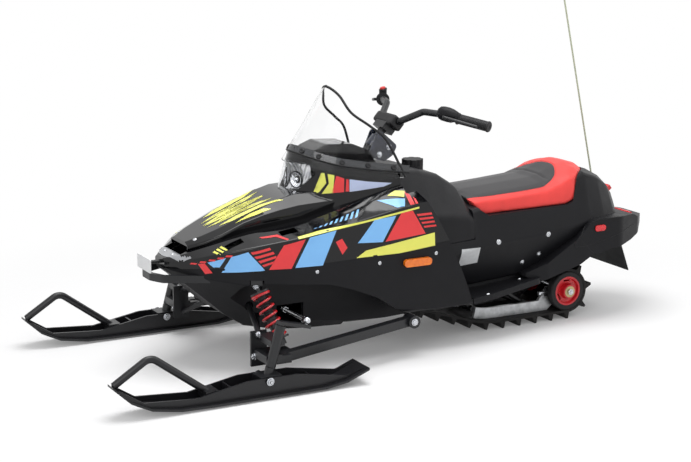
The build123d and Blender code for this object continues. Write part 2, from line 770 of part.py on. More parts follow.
def make_ski():
    """Plastic ski: curved sole, two upright walls, cross ribs and a keel."""
    sole_side = list(SKI_BOTTOM) + list(reversed(ski_local(SKI_BOTTOM, SKI_SHEET)))
    sole = side_slab(sole_side, -SKI_WIDTH / 2, SKI_WIDTH / 2)
    tip_x = SKI_BOTTOM[0][0]
    plan = ((tip_x + 2, 26), (tip_x - 60, 48), (tip_x - 160, 55), (SKI_TAIL_X - 4, 55),
            (SKI_TAIL_X - 4, -55), (tip_x - 160, -55), (tip_x - 60, -48), (tip_x + 2, -26))
    shape = plan_slab(plan, -10, 140, [20, 30, 30, 4, 4, 30, 30, 20])
    sole &= shape
    wall_side = list(SKI_BOTTOM) + list(SKI_RIM)
    half = SKI_CHANNEL / 2
    wall = side_slab(wall_side, half - SKI_WALL, half)
    walls = wall + right_of(wall)
    walls &= shape
    ski = sole + walls
    for x in (420, 690, 760):
        top = 40 if x != 690 else 50
        ski += block(x - 3, x + 3, -half, half, 8, top)
    keel = side_slab(((800, 0), (380, 0), (330, 15), (330, 24), (860, 12), (850, 8)), -KEEL_WIDTH / 2, KEEL_WIDTH / 2)
    ski += keel
    ski -= rod((KING_X + 12, -80, KING_Z), (KING_X + 12, 80, KING_Z), 5 + PIN_CLEARANCE)
    return Pos(0, SKI_STANCE, 0) * ski


LOOP_PATH = ((1036, 0, 96), (924, 0, 166), (748, 0, 36))
LOOP_RADIUS = 11.0


def make_ski_loop(ski):
    """Lifting handle from the tip to the middle of the ski."""
    loop = tube_along(LOOP_PATH, LOOP_RADIUS, [34])
    loop += Pos(748, 0, 36) * Box(40, SKI_CHANNEL - 2 * SKI_WALL - 1, 22)
    return Pos(0, SKI_STANCE, 0) * loop - ski


def make_spindle(ski):
    """Kingpin with the saddle that holds the ski and the steering arm on top."""
    pin = rod(king_axis(KING_Z + 4), king_axis(216), KING_PIN / 2)
    foot = Pos(KING_X + 4, SKI_STANCE, 50) * Box(70, SKI_CHANNEL - 2 * SKI_WALL - 2, 30)
    foot += rod(king_axis(60), king_axis(SLEEVE_LOW - 2), 15)
    bolt = rod((KING_X + 12, SKI_STANCE - 53, KING_Z), (KING_X + 12, SKI_STANCE + 53, KING_Z), 5)
    arm_plane = Plane(origin=king_axis(SLEEVE_HIGH + 8), x_dir=(KING_COSINE, 0, KING_SINE), z_dir=(-KING_SINE, 0, KING_COSINE))
    arm = arm_plane * Pos(-STEER_ARM / 2, -9, 0) * Rot(0, 0, 11) * Box(STEER_ARM + 24, 24, 10)
    return pin + foot + bolt + arm - ski


def arm_end():
    """Ball joint centre at the rear of the left steering arm."""
    centre = king_axis(SLEEVE_HIGH + 8)
    back = Vector(-KING_COSINE, 0, -KING_SINE)
    return centre + back * STEER_ARM + Vector(0, -18, 0)


TIE_DROP = 25.0              # tie rod ends hang this far under the yoke, along the column


def yoke_end():
    """Left end of the pitman yoke."""
    foot = column_plane(COLUMN_LENGTH)
    return foot.from_local_coords(Vector(-PITMAN_ARM, YOKE_HALF * foot.y_dir.Y, -5))


def make_tie_rod():
    """Silver rod with a ball end at the spindle and one near the pitman yoke."""
    ball = arm_end() + Vector(-KING_SINE, 0, KING_COSINE) * 16
    inner = yoke_end() + Vector(sin(radians(BAR_RAKE)), 0, -cos(radians(BAR_RAKE))) * TIE_DROP
    link = rod(ball, inner, 7)
    link += Pos(ball.X, ball.Y, ball.Z) * Sphere(11)
    link += Pos(inner.X, inner.Y, inner.Z) * Sphere(9)
    stud = Vector(-KING_SINE, 0, KING_COSINE)
    link += rod(ball, ball - stud * 10.5, 6)
    return link


# ---------------------------------------------------------------- track and skid
def tangent_points(c0, r0, c1, r1):
    """Where a belt leaves one circle and reaches the next, both on its inner side, going round clockwise in X-Z."""
    dx, dz = c1[0] - c0[0], c1[1] - c0[1]
    d = hypot(dx, dz)
    base = atan2(dz, dx)
    side = base + pi / 2 + asin((r1 - r0) / d)
    return (
        (c0[0] + r0 * cos(side), c0[1] + r0 * sin(side)),
        (c1[0] + r1 * cos(side), c1[1] + r1 * sin(side)),
    )


def belt_loop(grow):
    """Closed wire in X and Z round idler, drive and the bend, at a distance from the wheels."""
    idler_z = LUG_HEIGHT + BELT_THICK + SKID_CLEARANCE + IDLER_RADIUS
    circles = (
        ((IDLER_X, idler_z), IDLER_RADIUS + SKID_CLEARANCE + grow),
        ((DRIVE_X, DRIVE_Z), DRIVE_RADIUS + SKID_CLEARANCE + grow),
        ((BEND_X, LUG_HEIGHT + BELT_THICK + BEND_RADIUS), BEND_RADIUS + grow),
    )
    edges = []
    spans = []
    for i in range(3):
        c0, r0 = circles[i]
        c1, r1 = circles[(i + 1) % 3]
        spans.append(tangent_points(c0, r0, c1, r1))
    for i in range(3):
        start, end = spans[i]
        edges.append(Line(start, end))
        centre, radius = circles[(i + 1) % 3]
        leave = spans[(i + 1) % 3][0]
        a0 = atan2(end[1] - centre[1], end[0] - centre[0])
        a1 = atan2(leave[1] - centre[1], leave[0] - centre[0])
        while a1 > a0:
            a1 -= 2 * pi
        mid = (a0 + a1) / 2
        middle = (centre[0] + radius * cos(mid), centre[1] + radius * sin(mid))
        edges.append(ThreePointArc(end, middle, leave))
    return Wire([e.edge() for e in edges])


def make_track():
    """Rubber belt with cross lugs at an even pitch."""
    outer, inner = belt_loop(BELT_THICK), belt_loop(0.0)
    belt = make_face(outer) - make_face(inner)
    count = round(outer.length / LUG_PITCH)
    lugs = []
    for i in range(count):
        share = (i + 0.5) / count
        at, along = outer.position_at(share), outer.tangent_at(share)
        turn = degrees(atan2(along.Y, along.X))
        lug = Polygon(
            (-LUG_ROOT / 2, -2), (LUG_ROOT / 2, -2), (LUG_TIP / 2 + 3, LUG_HEIGHT), (-LUG_TIP / 2 + 3, LUG_HEIGHT),
            align=None,
        )
        lugs.append(Pos(at.X, at.Y) * Rot(0, 0, turn) * lug)
    profile = belt + lugs
    return extrude(Plane.XZ * profile, TRACK_WIDTH / 2, both=True)


RAIL_Y = 92.0                # outer face of each slide rail
RAIL_THICK = 12.0
RAIL_TALL = 36.0
RAIL_SWEEP = 13.0            # degrees that the front end turns up


def idler_z():
    """Height of the rear axle."""
    return LUG_HEIGHT + BELT_THICK + SKID_CLEARANCE + IDLER_RADIUS


def make_slide_rails():
    """Two rails that the belt slides on, turned up in front, with axle brackets behind."""
    floor = LUG_HEIGHT + BELT_THICK + SKID_CLEARANCE
    low = BEND_RADIUS - SKID_CLEARANCE
    high = low - RAIL_TALL
    centre = (BEND_X, floor + low)

    def on_arc(radius, angle):
        return (centre[0] + radius * sin(radians(angle)), centre[1] - radius * cos(radians(angle)))

    lower = ThreePointArc(on_arc(low, 0), on_arc(low, RAIL_SWEEP / 2), on_arc(low, RAIL_SWEEP))
    nose = Line(on_arc(low, RAIL_SWEEP), on_arc(high, RAIL_SWEEP))
    upper = ThreePointArc(on_arc(high, RAIL_SWEEP), on_arc(high, RAIL_SWEEP / 2), on_arc(high, 0))
    axle = idler_z()
    back = Polyline(
        on_arc(high, 0), (IDLER_X + 96, floor + RAIL_TALL), (IDLER_X + 60, axle + 14), (IDLER_X - 16, axle + 14),
        (IDLER_X - 16, axle - 14), (IDLER_X + 46, floor + 12), (IDLER_X + 60, floor), on_arc(low, 0),
    )
    face = make_face(lower + nose + upper + back)
    rail = extrude(Plane.XZ.offset(-RAIL_Y) * face, RAIL_THICK, dir=(0, -1, 0))
    rail -= rod((IDLER_X, 0, axle), (IDLER_X, 200, axle), AXLE_RADIUS + PIN_CLEARANCE)
    return both_sides(rail)


# upper pivot x and z on the tunnel, lower pivot x and z on the rails
SKID_ARMS = ((-196, 186, -352, 66), (-398, 166, -560, 58))
SKID_TUBE = 11.0
SKID_BAR_Y = 58.0


def make_suspension_arms():
    """Two swinging frames that carry the rails under the tunnel."""
    arms = []
    inside = tunnel_half() - TUNNEL_SHEET
    for ux, uz, lx, lz in SKID_ARMS:
        arm = rod((ux, -inside, uz), (ux, inside, uz), SKID_TUBE)
        reach = RAIL_Y - RAIL_THICK
        arm += rod((lx, -reach, lz), (lx, reach, lz), SKID_TUBE)
        for y in (-SKID_BAR_Y, SKID_BAR_Y):
            arm += rod((ux, y, uz), (lx, y, lz), SKID_TUBE - 2)
        arms.append(arm)
    return Compound(arms)


AXLE_RADIUS = 8.0
HUB_RADIUS = 50.0
HUB_FACE = 128.0             # outer side of the idler's rim
HUB_BOSS = 12.0              # boss beyond the rim


def make_rear_axle():
    """Shaft through both rails and idler wheels."""
    end = HUB_FACE + HUB_BOSS + 8
    return rod((IDLER_X, -end, idler_z()), (IDLER_X, end, idler_z()), AXLE_RADIUS)


def make_idler_wheels():
    """Dished red hub with a bearing boss and three slots, one each side."""
    inner = HUB_FACE - IDLER_WIDTH
    profile = Polyline(
        (AXLE_RADIUS + PIN_CLEARANCE, inner), (HUB_RADIUS, inner), (HUB_RADIUS, HUB_FACE), (HUB_RADIUS - 6, HUB_FACE),
        (HUB_RADIUS - 10, HUB_FACE - 8), (28, HUB_FACE - 8), (24, HUB_FACE + HUB_BOSS),
        (AXLE_RADIUS + PIN_CLEARANCE, HUB_FACE + HUB_BOSS), close=True,
    )
    face = Plane.XY * make_face(profile)
    hub = revolve(face, Axis.Y)
    for turn in (30, 150, 270):
        slot = Rot(0, turn, 0) * Pos(35, HUB_FACE, 0) * Box(6, 2 * IDLER_WIDTH, 26)
        hub -= slot
    return both_sides(Pos(IDLER_X, 0, idler_z()) * hub)


def make_idler_tyres():
    """Rubber tread on each idler wheel."""
    inner = HUB_FACE - IDLER_WIDTH
    shoulder = 3.0
    profile = Polyline(
        (HUB_RADIUS + PIN_CLEARANCE, inner), (IDLER_RADIUS - shoulder, inner), (IDLER_RADIUS, inner + shoulder),
        (IDLER_RADIUS, HUB_FACE - shoulder), (IDLER_RADIUS - shoulder, HUB_FACE), (HUB_RADIUS + PIN_CLEARANCE, HUB_FACE),
        close=True,
    )
    return both_sides(Pos(IDLER_X, 0, idler_z()) * revolve(make_face(profile), Axis.Y))


DRIVE_TEETH = 9


def make_drive_axle():
    """Shaft across the front of the tunnel with two toothed sprockets."""
    end = tunnel_half() - TUNNEL_SHEET
    axle = rod((DRIVE_X, -end, DRIVE_Z), (DRIVE_X, end, DRIVE_Z), 12.5)
    for y in (-45, 45):
        wheel = rod((DRIVE_X, y - 9, DRIVE_Z), (DRIVE_X, y + 9, DRIVE_Z), DRIVE_RADIUS - 8)
        for k in range(DRIVE_TEETH):
            tooth = Pos(DRIVE_X, y, DRIVE_Z) * Rot(0, 360 / DRIVE_TEETH * k, 0) * Pos(DRIVE_RADIUS - 8.5, 0, 0)
            wheel += tooth * Box(16, 18, 14)
        axle += wheel
    return axle


# ---------------------------------------------------------------- tail, nose and lamps
FLAP = ((-908, 262), (-912, 262), (-957, 140), (-953, 140))
FLAP_HALF = 125.0


def make_snow_flap(fender, body):
    """Rubber sheet behind the track."""
    top = [(FLAP[0][0] + 3, 274), (FLAP[1][0] + 3, 274)]
    return side_slab(top + list(FLAP[1:]), -FLAP_HALF, FLAP_HALF) - fender - body


WHIP_BASE = Vector(-972, -100, 340)
WHIP_LEAN = 12.4             # degrees forward
WHIP_LENGTH = 1500.0
WHIP_RADIUS = 3.0


def whip_point(distance):
    """Point up the flag pole."""
    return WHIP_BASE + Vector(sin(radians(WHIP_LEAN)), 0, cos(radians(WHIP_LEAN))) * distance


def make_flag_whip(fender, body):
    """Thin pole with a round foot on the fender."""
    pole = rod(whip_point(0), whip_point(WHIP_LENGTH), WHIP_RADIUS)
    foot = rod(whip_point(0), whip_point(26), 9)
    return pole + foot - fender - body


FLAG_DROP, FLAG_FLY = 150.0, 230.0


def make_flag():
    """Three-cornered pennant, sewn round the pole's top."""
    top, low = whip_point(WHIP_LENGTH - 6), whip_point(WHIP_LENGTH - 6 - FLAG_DROP)
    middle = (top + low) * 0.5
    gap = WHIP_RADIUS + 0.1
    points = ((top.X - gap, top.Z), (low.X - gap, low.Z), (middle.X - FLAG_FLY, middle.Z))
    return side_slab(points, WHIP_BASE.Y - 1, WHIP_BASE.Y + 1)


BUMPER_LOW, BUMPER_HIGH = 288.0, 311.0
BUMPER_OUTER = ((590, 168), (692, 112), (754, 80), (777, 30), (777, -30), (754, -80), (692, -112), (590, -168))
BUMPER_TUBE = 13.0


def make_front_bumper(outer):
    """Flat bow round the nose."""
    radii = [0, 40, 30, 20, 20, 30, 40, 0]
    face = outline(BUMPER_OUTER, radii)
    ring = face - offset(face, -BUMPER_TUBE)
    bow = extrude(Plane.XY.offset(BUMPER_LOW) * ring, BUMPER_HIGH - BUMPER_LOW, dir=(0, 0, 1))
    bow &= block(628, 800, -200, 200, 200, 400)
    return bow - outer


PLATE_X, PLATE_LOW, PLATE_HIGH, PLATE_HALF = 780.0, 315.0, 357.0, 54.0


def make_number_plate(outer):
    """Blank plate on a short stem in front of the nose."""
    face = block(PLATE_X, PLATE_X + 3, -PLATE_HALF, PLATE_HALF, PLATE_LOW, PLATE_HIGH)
    face = fillet(face.edges().filter_by(Axis.X), 4)
    stem = rod((720, 0, 337), (PLATE_X, 0, 337), 6)
    stem += block(PLATE_X - 5, PLATE_X, -18, 18, 328, 346)
    return face + stem - outer


AMBER = (-32, 302, 98, 24)       # centre x and z, length, height
RED_SIDE = (-770, 325, 42, 20)


def lens(place, y, depth):
    """Oblong reflector on the left side."""
    x, z, long, tall = place
    body = Pos(x, y, z) * Box(long, depth, tall)
    return fillet(body.edges().filter_by(Axis.Y), tall / 2 - 1)


def make_amber_reflectors(pan):
    """Orange reflector low on each front panel."""
    return both_sides(lens(AMBER, 256, 12) - pan)


def make_red_lenses(fender, body):
    """Tail lamp on the hump and a red reflector on each side of the fender."""
    side = lens(RED_SIDE, 203, 12) - fender
    lamp = Pos(-940, 0, 414) * Rot(0, -52, 0) * Box(16, 40, 16)
    return Compound([side, right_of(side), lamp - body])


# ---------------------------------------------------------------- assembly
def build():
    """Every sub-part by name."""
    outer, inner = hull(0.0), hull(SKIN)
    parts = {}
    parts["belly_pan"] = make_belly_pan(outer, inner)
    parts["hood"] = make_hood(outer, inner)
    parts["cowl"] = make_cowl(parts["hood"])
    parts["windshield"] = make_windshield(parts["cowl"])
    parts["headlight_lens"] = make_headlight_lens(parts["hood"])
    parts["headlight_bowl"] = make_headlight_bowl(parts["hood"])
    parts["steering_neck"] = make_steering_neck()
    parts["instrument_pod"] = make_instrument_pod(parts["cowl"])
    parts["fuel_tank"] = make_fuel_tank()
    parts["fuel_cap"] = make_fuel_cap(parts["fuel_tank"])
    parts["rear_body"] = make_rear_body(parts["fuel_tank"])
    parts["seat"] = make_seat()
    parts["rear_fender"] = make_rear_fender(parts["rear_body"])
    parts["tunnel"] = make_tunnel()
    parts["footboards"] = make_footboards()
    parts["front_frame"] = make_front_frame(inner)
    parts["engine_block"] = make_engine_block()
    parts["swing_arms"] = make_swing_arms()
    parts["radius_rods"] = make_radius_rods()
    parts["shock_absorbers"] = make_shock_absorbers(parts["front_frame"])
    parts["shock_springs"] = make_shock_springs()
    parts["track"] = make_track()
    parts["slide_rails"] = make_slide_rails()
    parts["suspension_arms"] = make_suspension_arms()
    parts["rear_axle"] = make_rear_axle()
    parts["idler_wheels"] = make_idler_wheels()
    parts["idler_tyres"] = make_idler_tyres()
    parts["drive_axle"] = make_drive_axle()
    parts["snow_flap"] = make_snow_flap(parts["rear_fender"], parts["rear_body"])
    parts["flag_whip"] = make_flag_whip(parts["rear_fender"], parts["rear_body"])
    parts["flag"] = make_flag()
    parts["front_bumper"] = make_front_bumper(outer)
    parts["number_plate"] = make_number_plate(outer)
    parts["amber_reflectors"] = make_amber_reflectors(outer)
    parts["red_lenses"] = make_red_lenses(parts["rear_fender"], parts["rear_body"])
    parts["steering_column"] = make_steering_column()
    parts["handlebar"] = make_handlebar()
    parts["grips"] = make_grips()
    parts["bar_pad"] = make_bar_pad()
    parts["brake_lever"] = make_brake_lever()
    parts["switch_block"] = make_switch_block()
    ski = make_ski()
    left = {"ski": ski, "ski_loop": make_ski_loop(ski), "spindle": make_spindle(ski), "tie_rod": make_tie_rod()}
    for name, shape in left.items():
        parts[f"left_{name}"] = shape
        parts[f"right_{name}"] = right_of(shape)
    return parts


if __name__ == "__main__":
    os.makedirs("parts", exist_ok=True)
    for name, shape in build().items():
        export_step(shape, f"parts/{name}.step")
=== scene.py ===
"""Youth snowmobile: shells, graphics, seat, fittings and studio round the CAD frame."""

import logging  # noqa: E402
import math  # noqa: E402
import random  # noqa: E402
from dataclasses import dataclass, field  # noqa: E402
from enum import Enum  # noqa: E402

import bmesh  # noqa: E402
import bpy  # noqa: E402
from mathutils import Matrix, Vector  # noqa: E402
from mathutils.bvhtree import BVHTree  # noqa: E402

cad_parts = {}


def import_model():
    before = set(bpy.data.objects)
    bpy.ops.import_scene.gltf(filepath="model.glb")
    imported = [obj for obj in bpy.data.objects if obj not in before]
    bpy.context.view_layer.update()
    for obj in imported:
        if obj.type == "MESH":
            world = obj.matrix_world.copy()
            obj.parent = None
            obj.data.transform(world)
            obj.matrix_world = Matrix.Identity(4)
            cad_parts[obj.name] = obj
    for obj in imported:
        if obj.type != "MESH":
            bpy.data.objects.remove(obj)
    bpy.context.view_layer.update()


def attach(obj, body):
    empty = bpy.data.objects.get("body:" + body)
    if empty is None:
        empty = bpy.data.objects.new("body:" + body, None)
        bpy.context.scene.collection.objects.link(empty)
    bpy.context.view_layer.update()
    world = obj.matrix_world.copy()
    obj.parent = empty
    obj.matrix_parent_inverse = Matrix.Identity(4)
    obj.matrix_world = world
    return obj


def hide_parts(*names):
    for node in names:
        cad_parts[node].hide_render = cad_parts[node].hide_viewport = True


LOG = logging.getLogger("snowmobile")
MM = 0.001
CHASSIS = "chassis"
STEERING = "handlebar_assembly"

Pair = tuple[float, float]
Triple = tuple[float, float, float]


def srgb(red: int, green: int, blue: int) -> Triple:
    """Linear colour of an 8-bit screen colour."""
    parts = []
    for level in (red, green, blue):
        share = level / 255
        parts.append(share / 12.92 if share <= 0.04045 else ((share + 0.055) / 1.055) ** 2.4)
    return (parts[0], parts[1], parts[2])


class Side(Enum):
    """Left and right of the machine, as the sign of Y."""

    LEFT = 1
    RIGHT = -1

    @property
    def word(self) -> str:
        """The side's name as the CAD nodes use it."""
        return self.name.lower()


# ---------------------------------------------------------------- finishes
class Grain(Enum):
    """Fine relief of a surface."""

    SMOOTH = "smooth"
    PEBBLE = "pebble"
    LEATHER = "leather"
    BRUSHED = "brushed"
    PRISM = "prism"
    FLUTED = "fluted"
    WEAVE = "weave"


@dataclass(frozen=True)
class Finish:
    """One finish, from colour and gloss to grain and wear.

    Sizes are in metres and depths are bump strengths.
    """

    name: str
    color: Triple
    roughness: float = 0.5
    gloss_drift: float = 0.08
    mottle: float = 0.12
    mottle_size: float = 0.06
    grain: Grain = Grain.SMOOTH
    grain_size: float = 0.0012
    grain_depth: float = 0.12
    metallic: float = 0.0
    coat: float = 0.0
    specular: float = 0.5
    transmission: float = 0.0
    alpha: float = 1.0
    ior: float = 1.5
    sheen: float = 0.0
    glow: float = 0.0

    def material(self) -> bpy.types.Material:
        """The finish as a node material, made once and then reused.

        Returns:
            The material, named after the finish.
        """
        ready = bpy.data.materials.get(self.name)
        if ready is not None:
            return ready
        made = bpy.data.materials.new(self.name)
        made.use_nodes = True
        shader = made.node_tree.nodes["Principled BSDF"]
        self._set_shader(shader)
        self._color(made.node_tree, shader)
        self._roughness(made.node_tree, shader)
        self._relief(made.node_tree, shader)
        return made

    def _set_shader(self, shader: bpy.types.Node) -> None:
        """Numbers that are the same all over the surface."""
        shader.inputs["Base Color"].default_value = (*self.color, 1.0)
        shader.inputs["Metallic"].default_value = self.metallic
        shader.inputs["IOR"].default_value = self.ior
        shader.inputs["Specular IOR Level"].default_value = self.specular
        shader.inputs["Coat Weight"].default_value = self.coat
        shader.inputs["Coat Roughness"].default_value = 0.04
        shader.inputs["Transmission Weight"].default_value = self.transmission
        shader.inputs["Alpha"].default_value = self.alpha
        shader.inputs["Sheen Weight"].default_value = self.sheen
        if self.glow:
            shader.inputs["Emission Color"].default_value = (*self.color, 1.0)
            shader.inputs["Emission Strength"].default_value = self.glow

    def _place(self, tree: bpy.types.NodeTree, stretch: Triple = (1.0, 1.0, 1.0)) -> bpy.types.NodeSocket:
        """Object coordinates, stretched along one axis for brushed and ribbed grain."""
        where = tree.nodes.new("ShaderNodeTexCoord")
        mapping = tree.nodes.new("ShaderNodeMapping")
        mapping.inputs["Scale"].default_value = stretch
        tree.links.new(where.outputs["Object"], mapping.inputs["Vector"])
        return mapping.outputs["Vector"]

    def _noise(self, tree: bpy.types.NodeTree, size: float, detail: float,
               stretch: Triple = (1.0, 1.0, 1.0)) -> bpy.types.NodeSocket:
        """Noise whose blobs are about as large as size."""
        noise = tree.nodes.new("ShaderNodeTexNoise")
        noise.inputs["Scale"].default_value = 1.0 / size
        noise.inputs["Detail"].default_value = detail
        tree.links.new(self._place(tree, stretch), noise.inputs["Vector"])
        return noise.outputs["Fac"]

    def _color(self, tree: bpy.types.NodeTree, shader: bpy.types.Node) -> None:
        """Colour that wanders a little between a darker and a lighter tone."""
        ramp = tree.nodes.new("ShaderNodeValToRGB")
        dark, light = ramp.color_ramp.elements
        dark.position, light.position = 0.3, 0.7
        dark.color = (*(part * (1 - self.mottle) for part in self.color), 1.0)
        light.color = (*(min(1.0, part * (1 + self.mottle)) for part in self.color), 1.0)
        tree.links.new(self._noise(tree, self.mottle_size, 4.0), ramp.inputs["Fac"])
        tree.links.new(ramp.outputs["Color"], shader.inputs["Base Color"])

    def _roughness(self, tree: bpy.types.NodeTree, shader: bpy.types.Node) -> None:
        """Gloss that drifts, as handling and dust leave it."""
        drift = tree.nodes.new("ShaderNodeMapRange")
        drift.inputs["From Min"].default_value = 0.3
        drift.inputs["From Max"].default_value = 0.7
        drift.inputs["To Min"].default_value = max(0.02, self.roughness * (1 - self.gloss_drift))
        drift.inputs["To Max"].default_value = min(1.0, self.roughness * (1 + self.gloss_drift))
        tree.links.new(self._noise(tree, self.mottle_size * 0.6, 3.0), drift.inputs["Value"])
        tree.links.new(drift.outputs["Result"], shader.inputs["Roughness"])

    def _relief(self, tree: bpy.types.NodeTree, shader: bpy.types.Node) -> None:
        """Bump of the finish's grain."""
        if self.grain is Grain.BRUSHED:
            height = self._noise(tree, self.grain_size, 3.0, (0.04, 1.0, 1.0))
        elif self.grain in (Grain.LEATHER, Grain.PRISM):
            cells = tree.nodes.new("ShaderNodeTexVoronoi")
            cells.feature = "DISTANCE_TO_EDGE" if self.grain is Grain.LEATHER else "F1"
            cells.inputs["Scale"].default_value = 1.0 / self.grain_size
            tree.links.new(self._place(tree), cells.inputs["Vector"])
            height = cells.outputs["Distance"]
        elif self.grain is Grain.FLUTED:
            wave = tree.nodes.new("ShaderNodeTexWave")
            wave.bands_direction = "Y"
            wave.inputs["Scale"].default_value = math.tau / 20 / self.grain_size
            wave.inputs["Distortion"].default_value = 0.6
            tree.links.new(self._place(tree), wave.inputs["Vector"])
            height = wave.outputs["Fac"]
        elif self.grain is Grain.WEAVE:
            wave = tree.nodes.new("ShaderNodeTexWave")
            wave.inputs["Scale"].default_value = 0.5 / self.grain_size
            wave.inputs["Distortion"].default_value = 1.5
            tree.links.new(self._place(tree), wave.inputs["Vector"])
            height = wave.outputs["Fac"]
        elif self.grain is Grain.PEBBLE:
            height = self._noise(tree, self.grain_size, 2.0)
        else:
            height = self._noise(tree, self.grain_size * 12, 1.0)
        bump = tree.nodes.new("ShaderNodeBump")
        bump.inputs["Strength"].default_value = self.grain_depth
        bump.inputs["Distance"].default_value = self.grain_size * 0.5
        tree.links.new(height, bump.inputs["Height"])
        tree.links.new(bump.outputs["Normal"], shader.inputs["Normal"])


GLOSS_BLACK = Finish(
    "gloss_black_shell", srgb(8, 8, 11), roughness=0.08, specular=0.3, coat=0.2, grain_depth=0.02,
)
GRAINED_BLACK = Finish(
    "grained_black_plastic", srgb(19, 19, 22), roughness=0.46, grain=Grain.PEBBLE, grain_size=0.0011,
    grain_depth=0.22, specular=0.2, mottle=0.1,
)
SKI_PLASTIC = Finish(
    "ski_plastic", srgb(22, 22, 25), roughness=0.34, grain=Grain.PEBBLE, grain_size=0.0016,
    grain_depth=0.15, specular=0.42, mottle=0.14,
)
BLACK_STEEL = Finish(
    "black_powder_coat", srgb(20, 21, 24), roughness=0.38, grain=Grain.PEBBLE, grain_size=0.0007,
    grain_depth=0.18, specular=0.5,
)
STEERING_BLUE = Finish(
    "blue_black_enamel", srgb(24, 30, 48), roughness=0.14, coat=0.6, grain_depth=0.05, mottle=0.2,
)
ZINC = Finish(
    "bright_zinc", srgb(196, 198, 202), roughness=0.26, metallic=1.0, grain=Grain.BRUSHED,
    grain_size=0.0008, grain_depth=0.12, mottle=0.08, mottle_size=0.01,
)
BRASS = Finish("brass_nut", srgb(176, 160, 120), roughness=0.3, metallic=1.0, grain_size=0.0006)
RAIL_ALUMINIUM = Finish(
    "rail_aluminium", srgb(190, 192, 194), roughness=0.4, metallic=0.85, grain=Grain.BRUSHED,
    grain_size=0.0012, grain_depth=0.3, mottle=0.22, mottle_size=0.02,
)
ENGINE_METAL = Finish(
    "engine_alloy", srgb(120, 122, 125), roughness=0.5, metallic=0.8, grain=Grain.PEBBLE, grain_depth=0.3,
)
SPRING_RED = Finish(
    "spring_red_coat", srgb(198, 30, 38), roughness=0.28, coat=0.4, grain=Grain.PEBBLE,
    grain_size=0.0008, grain_depth=0.1,
)
HUB_RED = Finish(
    "hub_red_plastic", srgb(205, 32, 42), roughness=0.34, grain=Grain.PEBBLE, grain_size=0.0009,
    grain_depth=0.12, coat=0.15,
)
TYRE_RUBBER = Finish(
    "wheel_tyre_rubber", srgb(30, 30, 31), roughness=0.62, grain=Grain.PEBBLE, grain_size=0.0008,
    grain_depth=0.3, specular=0.3,
)
TRACK_RUBBER = Finish(
    "track_belt_rubber", srgb(34, 33, 33), roughness=0.7, grain=Grain.PEBBLE, grain_size=0.0022,
    grain_depth=0.5, specular=0.25, mottle=0.25, mottle_size=0.03,
)
SOFT_RUBBER = Finish(
    "soft_rubber", srgb(24, 24, 26), roughness=0.55, grain=Grain.PEBBLE, grain_size=0.0006,
    grain_depth=0.25, specular=0.35,
)
FLAP_RUBBER = Finish(
    "flap_rubber", srgb(40, 41, 42), roughness=0.68, grain=Grain.WEAVE, grain_size=0.0016,
    grain_depth=0.2, specular=0.25,
)
LAMP_GLASS = Finish(
    "lamp_cover_clear", (0.97, 0.98, 1.0), roughness=0.03, transmission=1.0, ior=1.2, mottle=0.02,
    grain_depth=0.02,
)
SCREEN_CLEAR = Finish(
    "clear_screen", (0.995, 0.997, 1.0), roughness=0.02, transmission=1.0, ior=1.15, mottle=0.02,
    grain_depth=0.01, specular=0.3,
)
CUP_MIRROR = Finish(
    "cup_mirror", srgb(236, 237, 240), roughness=0.07, metallic=0.8, grain=Grain.FLUTED, grain_size=0.007,
    grain_depth=0.5, mottle=0.1,
)
BULB_METAL = Finish("bulb_metal", srgb(225, 226, 230), roughness=0.12, metallic=1.0, mottle=0.1, grain_depth=0.05)
SMOKED = Finish("smoked_band", srgb(40, 42, 46), roughness=0.08, coat=0.6, grain_depth=0.02)
MIRROR = Finish(
    "lamp_mirror", srgb(226, 227, 232), roughness=0.12, metallic=0.5, grain=Grain.FLUTED,
    grain_size=0.013, grain_depth=0.9, mottle=0.35, mottle_size=0.03,
)
AMBER = Finish(
    "amber_prism", srgb(255, 122, 10), roughness=0.18, coat=0.5, grain=Grain.PRISM,
    grain_size=0.0042, grain_depth=0.5, mottle=0.16, mottle_size=0.012,
)
RED_LENS = Finish(
    "red_prism", srgb(226, 24, 34), roughness=0.2, coat=0.5, grain=Grain.PRISM,
    grain_size=0.0038, grain_depth=0.4, mottle=0.12, mottle_size=0.012,
)
PLATE_WHITE = Finish(
    "plate_white", srgb(236, 237, 238), roughness=0.4, grain=Grain.PEBBLE, grain_size=0.001, grain_depth=0.06,
    mottle=0.03,
)
DATA_GREY = Finish(
    "data_plate_grey", srgb(196, 198, 200), roughness=0.42, metallic=0.3, grain=Grain.BRUSHED,
    grain_size=0.0007, grain_depth=0.1, mottle=0.06, mottle_size=0.01,
)
FIBREGLASS = Finish(
    "fibreglass_pole", srgb(190, 196, 170), roughness=0.4, grain=Grain.BRUSHED, grain_size=0.001,
    grain_depth=0.2, mottle=0.1, mottle_size=0.02,
)
FLAG_CLOTH = Finish(
    "pennant_cloth", srgb(250, 112, 24), roughness=0.8, grain=Grain.WEAVE, grain_size=0.0009, grain_depth=0.4,
    sheen=0.3,
)
PRINT_RED = Finish("print_red", srgb(237, 50, 55), roughness=0.3, coat=0.25, mottle=0.03, grain_depth=0.02)
PRINT_BLUE = Finish("print_blue", srgb(130, 195, 255), roughness=0.3, coat=0.25, mottle=0.03, grain_depth=0.02)
PRINT_YELLOW = Finish(
    "print_yellow", srgb(240, 240, 105), roughness=0.3, coat=0.25, mottle=0.03, grain_depth=0.02,
)
PRINT_PALE = Finish("print_pale", srgb(196, 208, 240), roughness=0.22, coat=0.4, mottle=0.05, grain_depth=0.02)
DECK_GREY = Finish("deck_grey", srgb(150, 152, 156), roughness=0.25, coat=0.4, mottle=0.1, grain_depth=0.03)
SEAM_THREAD = Finish("seam_thread", srgb(120, 26, 30), roughness=0.7, grain_size=0.0004, grain_depth=0.2)
